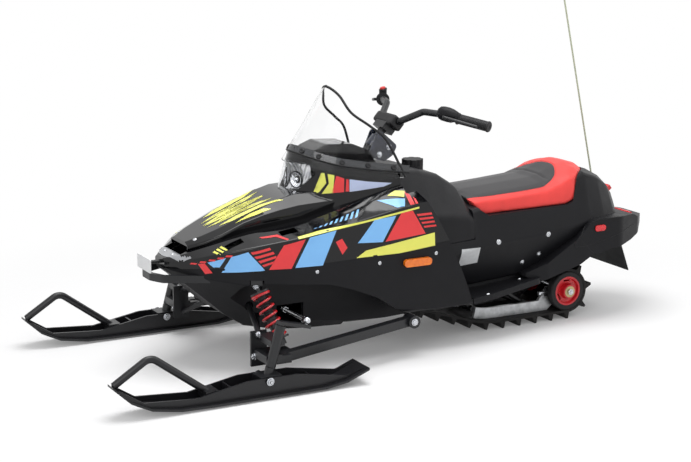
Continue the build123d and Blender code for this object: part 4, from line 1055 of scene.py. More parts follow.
def artwork() -> dict[str, list[Shard]]:
    """Plain geometric print for hood, pan and cowl, by colour."""
    side, top = View.SIDE, View.TOP
    shell = ("hood", "belly_pan")
    red = [
        Shard(side, [(658, 347), (642, 350), (624, 322), (641, 317)], shell),
        *bars(side, (676, 344), (-21, 7), (14, 5), 3, 5, 1.04, shell),
        Shard(side, [(524, 386), (468, 398), (464, 391), (519, 379)], shell),
        Shard(side, [(515, 373), (458, 385), (454, 378), (509, 366)], shell),
        Shard(side, [(505, 360), (449, 372), (450, 365), (499, 353)], shell),
        Shard(side, [(495, 347), (455, 356), (460, 349), (489, 341)], shell),
        Shard(side, [(424, 402), (354, 414), (404, 329), (474, 331)], shell),
        Shard(side, [(254, 396), (232, 404), (214, 374), (232, 354)], shell),
        Shard(side, [(80, 378), (22, 462), (-20, 466), (-66, 388)], shell),
        *bars(side, (-38, 446), (-8, -13), (54, 7), -4, 4, 0.94, shell),
        Shard(top, [(478, 178), (424, 190), (404, 232), (412, 236), (432, 200), (474, 188)]),
        Shard(top, [(-18, 190), (-30, 206), (-30, 238), (-14, 238)]),
        Shard(top, [(-36, 214), (-42, 222), (-42, 238), (-34, 238)]),
        Shard(side, [(186, 574), (163, 565), (166, 523), (202, 521)], ("cowl",)),
        Shard(side, [(157, 563), (150, 561), (150, 525), (161, 524)], ("cowl",)),
    ]
    blue = [
        Shard(side, [(636, 353), (590, 369), (612, 330)], shell),
        Shard(side, [(576, 373), (531, 387), (486, 330), (602, 324)], shell),
        Shard(side, [(340, 418), (250, 432), (300, 328), (392, 330)], shell),
        Shard(side, [(178, 384), (118, 450), (40, 456), (90, 378)], shell),
        Shard(top, [(80, 190), (-8, 214), (6, 238), (32, 236)]),
        *[Shard(top, [(312 - 17 * i, 213 + 1.6 * i), (304 - 17 * i, 213 + 1.6 * i), (297 - 19 * i, 210 - 1.6 * i),
                      (305 - 19 * i, 210 - 1.6 * i)]) for i in range(9)],
    ]
    yellow = [
        Shard(side, [(376, 421), (268, 437), (120, 455), (-44, 476), (-44, 470), (120, 449), (268, 431), (376, 416)], shell),
        Shard(side, [(184, 338), (150, 358), (60, 368), (-100, 388), (-100, 346), (28, 336)], shell),
        Shard(top, [(42, 188), (10, 180), (-20, 190), (-8, 208)]),
        *[Shard(top, [(618 - 12 * i, 146 - 2 * i), (611 - 12 * i, 145 - 2 * i), (603 - 12 * i, 172), (609 - 12 * i, 172)])
          for i in range(3)],
        Shard(top, [(584, -28), (500, -18), (420, -38), (372, -54), (430, -52), (520, -40)]),
        Shard(top, [(586, 4), (520, -8), (436, -18), (404, -8), (380, 4), (440, 18), (520, 20)]),
        Shard(top, [(566, 34), (500, 26), (430, 28), (396, 40), (440, 44), (510, 46)]),
        Shard(top, [(560, 62), (500, 54), (420, 62), (356, 98), (430, 84), (520, 80)]),
        Shard(top, [(520, 98), (470, 90), (424, 96), (404, 110), (450, 108)]),
        Shard(side, [(228, 583), (219, 583), (216, 552), (238, 524), (256, 517), (226, 553)], ("cowl",)),
        Shard(side, [(210, 580), (191, 576), (199, 521), (231, 519), (209, 550)], ("cowl",)),
    ]
    pale = [
        Shard(side, [(147, 562), (90, 552), (8, 542), (36, 533), (149, 523)], ("cowl",)),
    ]
    nose = [
        Shard(top, [(724, 0), (721, 30), (698, 84), (670, 106), (650, 70), (650, 0)], shell, 0.366),
    ]
    data = [Shard(side, [(-222, 312), (-300, 308), (-300, 254), (-222, 252)], ("rear_body", "fuel_tank"))]
    return {"red": red, "blue": blue, "yellow": yellow, "pale": pale, "deck": nose, "data_plate": data}


# ---------------------------------------------------------------- screws
@dataclass
class Fasteners:
    """Screws, bolts and studs on the shells."""

    pan: tuple[Pair, ...] = ((319, 310), (102, 313), (-104, 321), (-99, 462))
    rear: tuple[Pair, ...] = ((-371, 318), (-569, 322), (-486, 230), (-548, 252))
    nose: tuple[Pair, ...] = ((702, 30), (640, 62))
    studs: tuple[Pair, ...] = ((-472, 170), (-460, 240), (-305, 240))

    def build(self, skins: Skins, fittings: FittingTree) -> None:
        """Seat every group on the surface it belongs to."""
        shells = ("hood", "belly_pan", "rear_body", "fuel_tank", "cowl")
        places = [*self._sides(skins, self.pan, shells), *self._tops(skins, self.nose, shells)]
        fittings.fit("shell_screws", HeadForm.PAN.shape(0.0062), places, ZINC, CHASSIS)
        places = self._sides(skins, self.rear, shells)
        fittings.fit("rear_body_screws", HeadForm.WASHERED.shape(0.0066), places, ZINC, CHASSIS)
        places = self._tops(skins, self.studs, ("footboards",))
        fittings.fit("footboard_studs", HeadForm.STUD.shape(0.0075), places, ZINC, CHASSIS)

    def _sides(self, skins: Skins, spots: tuple[Pair, ...], nodes: tuple[str, ...]) -> list[Seat3]:
        """Places on both flanks at x and z."""
        places = []
        for x, z in spots:
            for side in Side:
                found = skins.from_side(side, x, z, *nodes)
                if found:
                    places.append(Seat3(found[0], found[1], Vector((1, 0, 0))))
        return places

    def _tops(self, skins: Skins, spots: tuple[Pair, ...], nodes: tuple[str, ...]) -> list[Seat3]:
        """Places on top at x and either side of the middle."""
        places = []
        for x, y in spots:
            for side in Side:
                found = skins.from_above(x, y * side.value, *nodes)
                if found:
                    places.append(Seat3(found[0], found[1], Vector((1, 0, 0))))
        return places


# ---------------------------------------------------------------- screen and lamp
@dataclass
class Screen:
    """Rubber trim round the windshield, the band at its foot and the grommets that hold it."""

    middle: float = -17.0
    foot: tuple[Triple, Triple] = ((440, 346, 168), (640, 286, 152))
    pane: tuple[Triple, Triple] = ((560, 337, 176), (850, 146.5, 88))
    rim: tuple[Pair, ...] = ((-30, 560), (18, 674), (63, 718), (117, 762), (140, 812), (158, 838))
    top: tuple[Pair, ...] = ((287, 640), (221, 616), (170, 603), (92, 590), (0, 577), (-44, 570))
    bead: float = 4.2
    film: float = 24.0
    grommets: tuple[float, ...] = (268, 232, 170, 92, 8)

    def _flank(self, cone: tuple[Triple, Triple], x: float, z: float, grow: float = 0.0) -> Vector:
        """Point of a leaning elliptic cone at x and z on the left, in metres."""
        low, high = cone
        share = (z - low[0]) / (high[0] - low[0])
        front = low[1] + (high[1] - low[1]) * share + grow
        half = low[2] + (high[2] - low[2]) * share + grow
        lean = min(1.0, max(-1.0, (x - self.middle) / (front - self.middle)))
        return Vector((x * MM, half * math.sqrt(max(0.0, 1 - lean * lean)) * MM, z * MM))

    def _arch(self) -> list[Vector]:
        """Centre line of the trim, up the left edge, over the top and down the right."""
        curve = smooth_line([Vector((x, 0, z)) for x, z in self.rim], 9)
        left = []
        for point in curve:
            left.append(self._flank(self.pane, point.x, point.z, 1.5))
        crest = left[-1]
        low, high = self.pane
        half = crest.y
        over = []
        share = (crest.z * 1000 - low[0]) / (high[0] - low[0])
        front = low[1] + (high[1] - low[1]) * share + 1.5
        width = low[2] + (high[2] - low[2]) * share + 1.5
        for step in range(1, 16):
            across = half * (1 - step / 8)
            lean = math.sqrt(max(0.0, 1 - (across * 1000 / width) ** 2))
            over.append(Vector((max(crest.x, (self.middle + (front - self.middle) * lean) * MM), across, crest.z)))
        right = [Vector((point.x, -point.y, point.z)) for point in reversed(left)]
        return left + over + right

    def build(self, skins: Skins, fittings: FittingTree) -> None:
        """Make the trim, the band and the grommets."""
        trim = tube(self._arch(), self.bead * MM, 12)
        settle("windshield_trim", mesh_of("windshield_trim", trim, 60.0), SOFT_RUBBER, CHASSIS)
        band = self._band()
        settle("windshield_band", mesh_of("windshield_band", band, 60.0), SOFT_RUBBER, CHASSIS)
        settle("smoked_band", mesh_of("smoked_band", self._smoked(), 60.0), SMOKED, CHASSIS)
        self._grommets(skins, fittings)

    def _smoked(self) -> bmesh.types.BMesh:
        """Dark film round the foot of the pane."""
        curve = smooth_line([Vector((x, 0, z)) for x, z in self.top], 8)
        film = bmesh.new()
        rows: list[list[bmesh.types.BMVert]] = [[], []]
        for side in Side:
            for point in curve if side is Side.LEFT else reversed(curve):
                for row, rise in zip(rows, (1.0, self.film)):
                    spot = self._flank(self.pane, point.x - rise * 0.25, point.z + rise, 3.2)
                    row.append(film.verts.new((spot.x, side.value * spot.y, spot.z)))
        turned = [row[len(curve) - 1::-1] + row[:len(curve) - 1:-1] for row in rows]
        for low, high, low_after, high_after in zip(turned[0], turned[1], turned[0][1:], turned[1][1:]):
            film.faces.new((low, low_after, high_after, high))
        bmesh.ops.remove_doubles(film, verts=film.verts, dist=0.0002)
        bmesh.ops.recalc_face_normals(film, faces=film.faces)
        return film

    def _band(self) -> bmesh.types.BMesh:
        """Bead where the pane meets the cowl, following the cowl's upper edge."""
        curve = smooth_line([Vector((x, 0, z)) for x, z in self.top], 8)
        left = [self._flank(self.pane, point.x, point.z + 3, 3.6) for point in curve]
        right = [Vector((point.x, -point.y, point.z)) for point in left]
        line = list(reversed(left)) + right
        cleaned = [line[0]]
        for point in line[1:]:
            if (point - cleaned[-1]).length > 0.002:
                cleaned.append(point)
        return tube(cleaned, 3.2 * MM, 10)

    def _grommets(self, skins: Skins, fittings: FittingTree) -> None:
        """Round rubber fasteners through the foot of the pane."""
        places = []
        heights = dict(self.top)
        knots = sorted(heights)
        for x in self.grommets:
            after = next(knot for knot in knots if knot >= x)
            before = max((knot for knot in knots if knot < x), default=after)
            share = 0.0 if after == before else (x - before) / (after - before)
            z = heights[before] + (heights[after] - heights[before]) * share + 14
            for side in Side:
                found = skins.from_side(side, x, z, "windshield")
                if found:
                    places.append(Seat3(found[0], found[1], Vector((0, 0, 1))))
        fittings.fit("windshield_grommets", HeadForm.GROMMET.shape(0.0088), places, SOFT_RUBBER, CHASSIS)


def smooth_line(points: list[Vector], steps: int) -> list[Vector]:
    """Catmull-Rom curve through points, in steps for each stretch.

    Args:
        points: what the curve passes through.
        steps: how many pieces each stretch has.

    Returns:
        The curve's points.
    """
    curve = []
    for index in range(len(points) - 1):
        before = points[max(0, index - 1)]
        start, end = points[index], points[index + 1]
        after = points[min(len(points) - 1, index + 2)]
        for step in range(steps):
            t = step / steps
            curve.append(0.5 * (2 * start + (end - before) * t + (2 * before - 5 * start + 4 * end - after) * t**2
                                + (3 * start - before - 3 * end + after) * t**3))
    curve.append(points[-1].copy())
    return curve


@dataclass
class Bulbs:
    """The headlamp's two bulbs in their dark sockets and bright cups, seen through the cover."""

    centre: Triple = (276, 0, 556)
    spread: float = 34.0
    unit: float = 8.0

    def build(self) -> None:
        """Make the bulbs, the cups and the dark rings round them, each kind one piece."""
        bulb = [(0.0, 0.2), (0.8, 0.2), (0.8, 0.8), (0.62, 1.2), (0.3, 1.42), (0.0, 1.5)]
        socket = [(0.0, -0.1), (1.5, -0.1), (1.5, 0.1), (1.1, 0.35), (0.0, 0.35)]
        cup = [(0.0, -0.4), (1.6, -0.4), (2.4, 0.0), (3.1, 0.85), (3.1, 1.1), (2.95, 1.1), (2.3, 0.4), (1.6, 0.05), (0.0, 0.0)]
        rim = [(3.0, 0.8), (3.45, 0.7), (3.45, 1.15), (3.0, 1.25), (3.0, 0.8)]
        kinds = (
            ("headlight_bulbs", (bulb,), BULB_METAL), ("headlight_cups", (cup,), CUP_MIRROR),
            ("headlight_sockets", (socket, rim), SOFT_RUBBER),
        )
        for name, profiles, finish in kinds:
            shapes = []
            for side in Side:
                point = Vector((self.centre[0], side.value * self.spread, self.centre[2])) * MM
                place = facing(point, Vector((1.0, side.value * 0.35, 0.05)))
                for profile in profiles:
                    turned = lathe([(r * self.unit * MM, h * self.unit * MM) for r, h in profile], 32)
                    shapes.append(moved(turned, place))
            settle(name, mesh_of(name, joined(shapes), 40.0), finish, CHASSIS)


# ---------------------------------------------------------------- seat
@dataclass(frozen=True)
class SeatCover:
    """Two-colour vinyl whose colours meet at the seam that the seat stores in an attribute."""

    name: str = "seat_vinyl"
    dark: Triple = srgb(46, 45, 47)
    bright: Triple = srgb(240, 72, 68)
    roughness: float = 0.5
    grain_size: float = 0.0024
    seam_line: float = 0.0009

    def material(self) -> bpy.types.Material:
        """The cover as a node material."""
        made = bpy.data.materials.new(self.name)
        made.use_nodes = True
        tree = made.node_tree
        shader = tree.nodes["Principled BSDF"]
        shader.inputs["Specular IOR Level"].default_value = 0.4
        shader.inputs["Sheen Weight"].default_value = 0.05
        where = tree.nodes.new("ShaderNodeTexCoord")
        self._color(tree, shader, where)
        self._relief(tree, shader, where)
        return made

    def _color(self, tree: bpy.types.NodeTree, shader: bpy.types.Node, where: bpy.types.Node) -> None:
        """Black inside the seam, red outside it, both a little uneven."""
        seam = tree.nodes.new("ShaderNodeAttribute")
        seam.attribute_name = "seam"
        side = tree.nodes.new("ShaderNodeMapRange")
        side.inputs["From Min"].default_value = -self.seam_line / 2
        side.inputs["From Max"].default_value = self.seam_line / 2
        tree.links.new(seam.outputs["Fac"], side.inputs["Value"])
        cloud = tree.nodes.new("ShaderNodeTexNoise")
        cloud.inputs["Scale"].default_value = 14.0
        cloud.inputs["Detail"].default_value = 4.0
        tree.links.new(where.outputs["Object"], cloud.inputs["Vector"])
        tones = []
        for color in (self.bright, self.dark):
            ramp = tree.nodes.new("ShaderNodeValToRGB")
            low, high = ramp.color_ramp.elements
            low.position, high.position = 0.3, 0.7
            low.color = (*(part * 0.9 for part in color), 1.0)
            high.color = (*(min(1.0, part * 1.08) for part in color), 1.0)
            tree.links.new(cloud.outputs["Fac"], ramp.inputs["Fac"])
            tones.append(ramp)
        blend = tree.nodes.new("ShaderNodeMix")
        blend.data_type = "RGBA"
        tree.links.new(side.outputs["Result"], blend.inputs["Factor"])
        tree.links.new(tones[0].outputs["Color"], blend.inputs[6])
        tree.links.new(tones[1].outputs["Color"], blend.inputs[7])
        tree.links.new(blend.outputs[2], shader.inputs["Base Color"])
        drift = tree.nodes.new("ShaderNodeMapRange")
        drift.inputs["To Min"].default_value = self.roughness - 0.07
        drift.inputs["To Max"].default_value = self.roughness + 0.07
        tree.links.new(cloud.outputs["Fac"], drift.inputs["Value"])
        tree.links.new(drift.outputs["Result"], shader.inputs["Roughness"])

    def _relief(self, tree: bpy.types.NodeTree, shader: bpy.types.Node, where: bpy.types.Node) -> None:
        """Embossed leather grain."""
        cells = tree.nodes.new("ShaderNodeTexVoronoi")
        cells.feature = "DISTANCE_TO_EDGE"
        cells.inputs["Scale"].default_value = 1.0 / self.grain_size
        tree.links.new(where.outputs["Object"], cells.inputs["Vector"])
        bump = tree.nodes.new("ShaderNodeBump")
        bump.inputs["Strength"].default_value = 0.22
        bump.inputs["Distance"].default_value = 0.0006
        tree.links.new(cells.outputs["Distance"], bump.inputs["Height"])
        tree.links.new(bump.outputs["Normal"], shader.inputs["Normal"])


@dataclass
class Saddle:
    """Foam seat: black tongue on top, red border round it, sewn seam and the bolster's fold."""

    voxel: float = 0.005
    swell: float = 0.004
    puff: float = 4.0
    rim: float = 0.448
    groove: float = 0.0016
    groove_width: float = 0.0028
    fold: float = 0.0035
    stitch_gap: float = 0.0036
    stitch_pitch: float = 0.0058
    tongue: tuple[Pair, ...] = (
        (-270, 104), (-298, 108), (-349, 121), (-406, 125), (-464, 127), (-523, 129), (-560, 129), (-585, 127),
        (-613, 121), (-636, 110), (-657, 92), (-675, 64), (-688, 32), (-693, 0),
    )

    def build(self, fittings: FittingTree) -> None:
        """Make the cushion, its seam and the stitches beside the seam."""
        cushion = self._cushion()
        seam = self._seam()
        self._sew(cushion, seam)
        cushion.materials.append(SeatCover().material())
        piece = settle("seat_cushion", cushion, GRAINED_BLACK, CHASSIS)
        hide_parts("seat")
        self._stitches(piece, seam, fittings)

    def _cushion(self) -> bpy.types.Mesh:
        """Even net over the seat's solid, swollen by cloth under a little pressure."""
        shape = bmesh.new()
        shape.from_mesh(bpy.data.objects["seat"].data)
        bmesh.ops.remove_doubles(shape, verts=shape.verts, dist=0.00001)
        mesh = mesh_of("seat_cushion", shape, 180.0)
        mesh.materials.clear()
        work = bpy.data.objects.new("seat_work", mesh)
        bpy.context.scene.collection.objects.link(work)
        remesh = work.modifiers.new("net", "REMESH")
        remesh.mode = "VOXEL"
        remesh.voxel_size = self.voxel
        even = work.modifiers.new("even", "SMOOTH")
        even.factor = 0.5
        even.iterations = 6
        self._bake(work)
        start = [vert.co.copy() for vert in work.data.vertices]
        self._swell(work)
        for vert, home in zip(work.data.vertices, start):
            move = vert.co - home
            free = min(1.0, max(0.0, (home.z - self.rim) / 0.03))
            if move.length > self.swell:
                move *= self.swell / move.length
            vert.co = home + move * free
        finer = work.modifiers.new("finer", "SUBSURF")
        finer.levels = finer.render_levels = 1
        self._bake(work)
        result = work.data
        bpy.data.objects.remove(work)
        for face in result.polygons:
            face.use_smooth = True
        return result

    def _bake(self, work: bpy.types.Object) -> None:
        """Turn an object's modifiers into its mesh."""
        graph = bpy.context.evaluated_depsgraph_get()
        mesh = bpy.data.meshes.new_from_object(work.evaluated_get(graph))
        work.modifiers.clear()
        old = work.data
        work.data = mesh
        bpy.data.meshes.remove(old)

    def _swell(self, work: bpy.types.Object) -> None:
        """Cloth under pressure for twenty frames, applied to the mesh."""
        cloth = work.modifiers.new("cover", "CLOTH")
        cloth.settings.use_pressure = True
        cloth.settings.uniform_pressure_force = self.puff
        cloth.settings.effector_weights.gravity = 0.0
        cloth.settings.quality = 4
        cloth.point_cache.frame_end = 20
        scene = bpy.context.scene
        for frame in range(1, 21):
            scene.frame_set(frame)
        self._bake(work)
        scene.frame_set(1)

    def _seam(self) -> list[Vector]:
        """Plan of the seam, front left round the tail to front right, in metres."""
        left = smooth_line([Vector((x, y, 0)) for x, y in self.tongue], 8)
        right = [Vector((point.x, -point.y, 0)) for point in reversed(left[:-1])]
        return [point * MM for point in left + right]

    def _signed(self, seam: list[Vector], point: Vector) -> float:
        """Distance from the seam in plan, above nought inside the tongue."""
        best = 1.0
        inside = False
        for start, end in zip(seam, seam[1:]):
            run = end - start
            share = ((point.x - start.x) * run.x + (point.y - start.y) * run.y) / max(run.length_squared, 1e-12)
            share = min(1.0, max(0.0, share))
            gap = math.hypot(point.x - start.x - run.x * share, point.y - start.y - run.y * share)
            best = min(best, gap)
        ring = [*seam, Vector((0, seam[-1].y, 0)), Vector((0, seam[0].y, 0))]
        for start, end in zip(ring, ring[1:] + ring[:1]):
            if (start.y > point.y) != (end.y > point.y):
                cross = start.x + (point.y - start.y) / (end.y - start.y) * (end.x - start.x)
                inside ^= point.x < cross
        return best if inside else -best

    def _sew(self, mesh: bpy.types.Mesh, seam: list[Vector]) -> None:
        """Store the distance from the seam, press the seam's groove in and fold the bolster's front."""
        layer = mesh.attributes.new("seam", "FLOAT", "POINT")
        normals = [normal.vector.copy() for normal in mesh.vertex_normals]
        for index, vert in enumerate(mesh.vertices):
            away = self._signed(seam, vert.co) if vert.co.z > 0.42 else -0.05
            layer.data[index].value = away
            depth = self.groove * math.exp(-((away / self.groove_width) ** 2))
            line = -0.622 + 0.10 * abs(vert.co.y) ** 1.5
            fade = min(1.0, max(0.0, (0.112 - abs(vert.co.y)) / 0.03))
            if vert.co.z > 0.45:
                depth += self.fold * fade * math.exp(-(((vert.co.x - line) / 0.006) ** 2))
            vert.co -= normals[index] * depth

    def _stitches(self, piece: bpy.types.Object, seam: list[Vector], fittings: FittingTree) -> None:
        """Row of thread along the red side of the seam."""
        tree = BVHTree.FromObject(piece, bpy.context.evaluated_depsgraph_get())
        places = []
        travelled = 0.0
        for start, end in zip(seam, seam[1:]):
            run = end - start
            outward = Vector((run.y, -run.x, 0)).normalized()
            if outward.dot(Vector((start.x + 0.45, start.y, 0))) < 0:
                outward.negate()
            while travelled < run.length:
                spot = start + run.normalized() * travelled + outward * self.stitch_gap
                point, normal, _, _ = tree.ray_cast(Vector((spot.x, spot.y, 1.0)), Vector((0, 0, -1)))
                if point is not None and point.z > 0.43:
                    places.append(Seat3(point, normal, run.normalized()))
                travelled += self.stitch_pitch
            travelled -= run.length
        form = tube([Vector((-0.0021, 0, 0)), Vector((-0.0012, 0, 0.0005)), Vector((0.0012, 0, 0.0005)),
                     Vector((0.0021, 0, 0))], 0.00045, 6)
        fittings.fit("seat_stitches", form, places, SEAM_THREAD, CHASSIS)


# ---------------------------------------------------------------- handlebar
@dataclass
class Handlebar:
    """Ribbed grips, lever cover, stop button, cross pad and neck bolts."""

    inner: Triple = (-152, 190, 752)
    end: Triple = (-236, 332, 726)
    grip_start: float = 0.35
    rib_pitch: float = 5.2
    grip_radius: float = 15.2

    def build(self, skins: Skins, fittings: FittingTree) -> None:
        """Make every piece that dresses the bar."""
        self._grips()
        self._lever_cover()
        self._button()
        self._pad()
        places = []
        for x, z in ((-56, 630), (-21, 608)):
            for side in Side:
                found = skins.from_side(side, x, z, "steering_neck")
                if found:
                    places.append(Seat3(found[0], found[1], Vector((1, 0, 0.4))))
        fittings.fit("neck_bolts", HeadForm.HEX.shape(0.0078), places, ZINC, CHASSIS)

    def _line(self, side: Side) -> tuple[Vector, Vector]:
        """Bar end's start and direction on one side, in metres."""
        inner = Vector((self.inner[0], self.inner[1] * side.value, self.inner[2])) * MM
        end = Vector((self.end[0], self.end[1] * side.value, self.end[2])) * MM
        return inner, end - inner

    def _grips(self) -> None:
        """Rubber sleeves with rings, a flange within and a closed end."""
        shapes = []
        for side in Side:
            inner, run = self._line(side)
            length = run.length * 1000 * (1 - self.grip_start) + 4
            profile = [(0.0, 0.0), (18.5, 0.0), (19.0, 1.0), (18.6, 3.0), (self.grip_radius, 4.6)]
            at = 7.0
            while at < length - 9:
                profile += [(self.grip_radius, at), (self.grip_radius + 1.1, at + 0.8),
                            (self.grip_radius + 1.1, at + 2.6), (self.grip_radius, at + 3.4)]
                at += self.rib_pitch
            profile += [(self.grip_radius, length - 7), (17.4, length - 6), (17.8, length - 3), (15.5, length), (6.0, length),
                        (5.0, length - 1.5), (0.0, length - 1.5)]
            shape = lathe([(r * MM, h * MM) for r, h in profile], 28)
            start = inner + run * self.grip_start
            shapes.append(moved(shape, facing(start, run)))
        piece = settle("ribbed_grips", mesh_of("ribbed_grips", joined(shapes), 50.0), SOFT_RUBBER, STEERING)
        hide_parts("grips")

    def _lever_cover(self) -> None:
        """Drop-shaped cover over the left perch, drawn out over the grip."""
        inner, run = self._line(Side.LEFT)
        along = run.normalized()
        profile = [(0.0, -6), (13, -5), (19, 2), (21.5, 14), (22, 30), (20, 46), (16, 60), (10, 74), (4, 86), (0, 92)]
        shape = lathe([(r * MM, h * MM) for r, h in profile], 28)
        for vert in shape.verts:
            vert.co.y *= 0.84
            vert.co.x *= 1.08
        lifted = inner + Vector((0.006, 0.0, 0.006))
        moved(shape, facing(lifted, along, Vector((0, 0, 1))))
        settle("lever_cover", mesh_of("lever_cover", shape, 50.0), GRAINED_BLACK, STEERING)

    def _button(self) -> None:
        """Red stop button on the right control, with its black ring."""
        inner, run = self._line(Side.RIGHT)
        centre = inner + run.normalized() * 0.026 + Vector((0, 0, 0.034))
        knob = lathe([(0.0, -0.002), (0.0095, -0.002), (0.0098, 0.004), (0.0088, 0.0072), (0.005, 0.0082), (0, 0.0084)], 24)
        ring = lathe([(0.0, -0.004), (0.0132, -0.004), (0.0138, 0.0), (0.0124, 0.0022), (0.0, 0.0022)], 28)
        frame = facing(centre, Vector((0.25, 0, 1)))
        settle("stop_button", mesh_of("stop_button", moved(knob, frame), 40.0), BUTTON_RED, STEERING)
        settle("button_ring", mesh_of("button_ring", moved(ring, frame), 40.0), SOFT_RUBBER, STEERING)

    def _pad(self) -> None:
        """Foam pad over the clamp, its corners eased and its faces a little crowned."""
        shape = bmesh.new()
        shape.from_mesh(bpy.data.objects["bar_pad"].data)
        bmesh.ops.remove_doubles(shape, verts=shape.verts, dist=0.00001)
        mesh = mesh_of("bar_pad_cover", shape, 180.0)
        mesh.materials.clear()
        mesh.materials.append(SOFT_RUBBER.material())
        piece = settle("bar_pad_cover", mesh, SOFT_RUBBER, STEERING)
        remesh = piece.modifiers.new("net", "REMESH")
        remesh.mode = "VOXEL"
        remesh.voxel_size = 0.0025
        remesh.use_smooth_shade = True
        even = piece.modifiers.new("even", "SMOOTH")
        even.iterations = 5
        graph = bpy.context.evaluated_depsgraph_get()
        made = bpy.data.meshes.new_from_object(piece.evaluated_get(graph))
        piece.modifiers.clear()
        piece.data = made
        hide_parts("bar_pad")


# ---------------------------------------------------------------- running gear
@dataclass
class RunningGear:
    """Bolts, nuts and boots of skis, arms, tie rods and the rear wheel."""

    king: Pair = (558, 52)
    stance: float = 400.0
    axle: Pair = (-700, 97.5)
    axle_end: float = 140.0
    upright: tuple[Pair, ...] = ((310, 158), (310, 92))
    shock: tuple[Triple, Triple] = ((462, 300, 112), (509, 228, 278))

    def build(self, skins: Skins, fittings: FittingTree) -> None:
        """Seat every group."""
        for side in Side:
            self._ski_bolts(side, fittings)
            self._tie_rod_ends(side, fittings)
        self._arm_bolts(skins, fittings)
        self._wheel_nuts(fittings)
        self._adjusters()
        self._dampers()

    def _ski_bolts(self, side: Side, fittings: FittingTree) -> None:
        """Nut on each end of the bolt that the ski rocks on."""
        places = []
        for face in (-1, 1):
            y = side.value * self.stance + face * 44
            places.append(Seat3(Vector((self.king[0] + 12, y, self.king[1])) * MM, Vector((0, face, 0)), Vector((1, 0, 0))))
        body = f"{side.word}_ski_assembly"
        fittings.fit(f"{side.word}_ski_nuts", HeadForm.HEX.shape(0.0095), places, ZINC, body)

    def _ends(self, node: str) -> tuple[Vector, Vector]:
        """Front and rear ball centre of a tie rod, from its mesh."""
        points = [vert.co for vert in bpy.data.objects[node].data.vertices]
        front = max(point.x for point in points)
        rear = min(point.x for point in points)
        ends = []
        for level, reach in ((front, 0.016), (rear, 0.016)):
            near = [point for point in points if abs(point.x - level) < reach]
            low = Vector((min(p.x for p in near), min(p.y for p in near), min(p.z for p in near)))
            high = Vector((max(p.x for p in near), max(p.y for p in near), max(p.z for p in near)))
            ends.append((low + high) / 2)
        return ends[0], ends[1]

    def _tie_rod_ends(self, side: Side, fittings: FittingTree) -> None:
        """Lock nut and rubber boot beside each ball of a tie rod."""
        front, rear = self._ends(f"{side.word}_tie_rod")
        run = (rear - front).normalized()
        body = f"{side.word}_tie_rod_link"
        nuts = [Seat3(front + run * 0.026, run, Vector((0, 0, 1))), Seat3(rear - run * 0.032, run, Vector((0, 0, 1)))]
        form = lathe([(0.0, 0.0), (0.0098, 0.0), (0.0106, 0.0012), (0.0106, 0.0062), (0.0098, 0.0074), (0.0, 0.0074)], 6)
        fittings.fit(f"{side.word}_lock_nuts", form, nuts, ZINC, body)
        sleeve = lathe([(0.0, 0.0), (0.0088, 0.0), (0.0092, 0.001), (0.0092, 0.017), (0.0084, 0.018), (0.0, 0.018)], 20)
        sleeves = [Seat3(front + run * 0.009, run, Vector((0, 0, 1))), Seat3(rear - run * 0.024, run, Vector((0, 0, 1)))]
        fittings.fit(f"{side.word}_rod_eyes", sleeve, sleeves, BLACK_STEEL, body)

    def _arm_bolts(self, skins: Skins, fittings: FittingTree) -> None:
        """Bolt heads on the swing arms' pivots and the upright plates."""
        places = []
        for x, z, nodes in ((-4, 118, ("swing_arms",)), (510, 278, ("front_frame",))):
            for side in Side:
                found = skins.from_side(side, x, z, *nodes)
                if found:
                    places.append(Seat3(found[0], found[1], Vector((1, 0, 0))))
        for y, z in self.upright:
            for side in Side:
                found = skins.hit(Vector((0.9, side.value * y * MM, z * MM)), Vector((-1, 0, 0)), "swing_arms")
                if found:
                    places.append(Seat3(found[0], found[1], Vector((0, 0, 1))))
        fittings.fit("arm_bolts", HeadForm.HEX.shape(0.0088), places, ZINC, CHASSIS)

    def _dampers(self) -> None:
        """Thick gaiter inside each spring and the red collar that the spring's top rests on."""
        gaiters, collars = [], []
        for side in Side:
            low, high = (Vector((x, y * side.value, z)) * MM for x, y, z in self.shock)
            run = high - low
            profile = [(0.0, 0.0), (15.5, 0.0), (16.0, 2.0)]
            for ring in range(9):
                profile += [(16.2, 6.0 + 8 * ring), (14.2, 10.0 + 8 * ring)]
            profile += [(15.0, 80.0), (0.0, 80.0)]
            shape = lathe([(r * MM, h * MM) for r, h in profile], 24)
            gaiters.append(moved(shape, facing(low + run * 0.42, run)))
            ring = [(18.0, 0.0), (29.0, 0.0), (30.0, 1.5), (30.0, 6.5), (28.5, 8.0), (18.0, 8.0)]
            collar = lathe([(0.0, 0.0), *ring, (0.0, 8.0)], 32)
            for vert in collar.verts:
                vert.co *= MM
            collars.append(moved(collar, facing(low + run * 0.855, run)))
        settle("damper_gaiters", mesh_of("damper_gaiters", joined(gaiters), 50.0), SOFT_RUBBER, CHASSIS)
        settle("spring_collars", mesh_of("spring_collars", joined(collars), 40.0), SPRING_RED, CHASSIS)

    def _wheel_nuts(self, fittings: FittingTree) -> None:
        """Brass washer and nut on each end of the rear axle."""
        nuts, washers = [], []
        for side in Side:
            face = Vector((0, side.value, 0))
            hub = Vector((self.axle[0], side.value * self.axle_end, self.axle[1])) * MM
            nuts.append(Seat3(hub, face, Vector((1, 0, 0.3))))
            washers.append(Seat3(hub - face * 0.0004, face, Vector((1, 0, 0))))
        fittings.fit("wheel_nuts", HeadForm.HEX.shape(0.0112), nuts, ZINC, CHASSIS)
        ring = lathe([(0.0, 0.0), (0.0192, 0.0), (0.0198, 0.0008), (0.0192, 0.0018), (0.0, 0.0018)], 32)
        fittings.fit("wheel_washers", ring, washers, BRASS, CHASSIS)

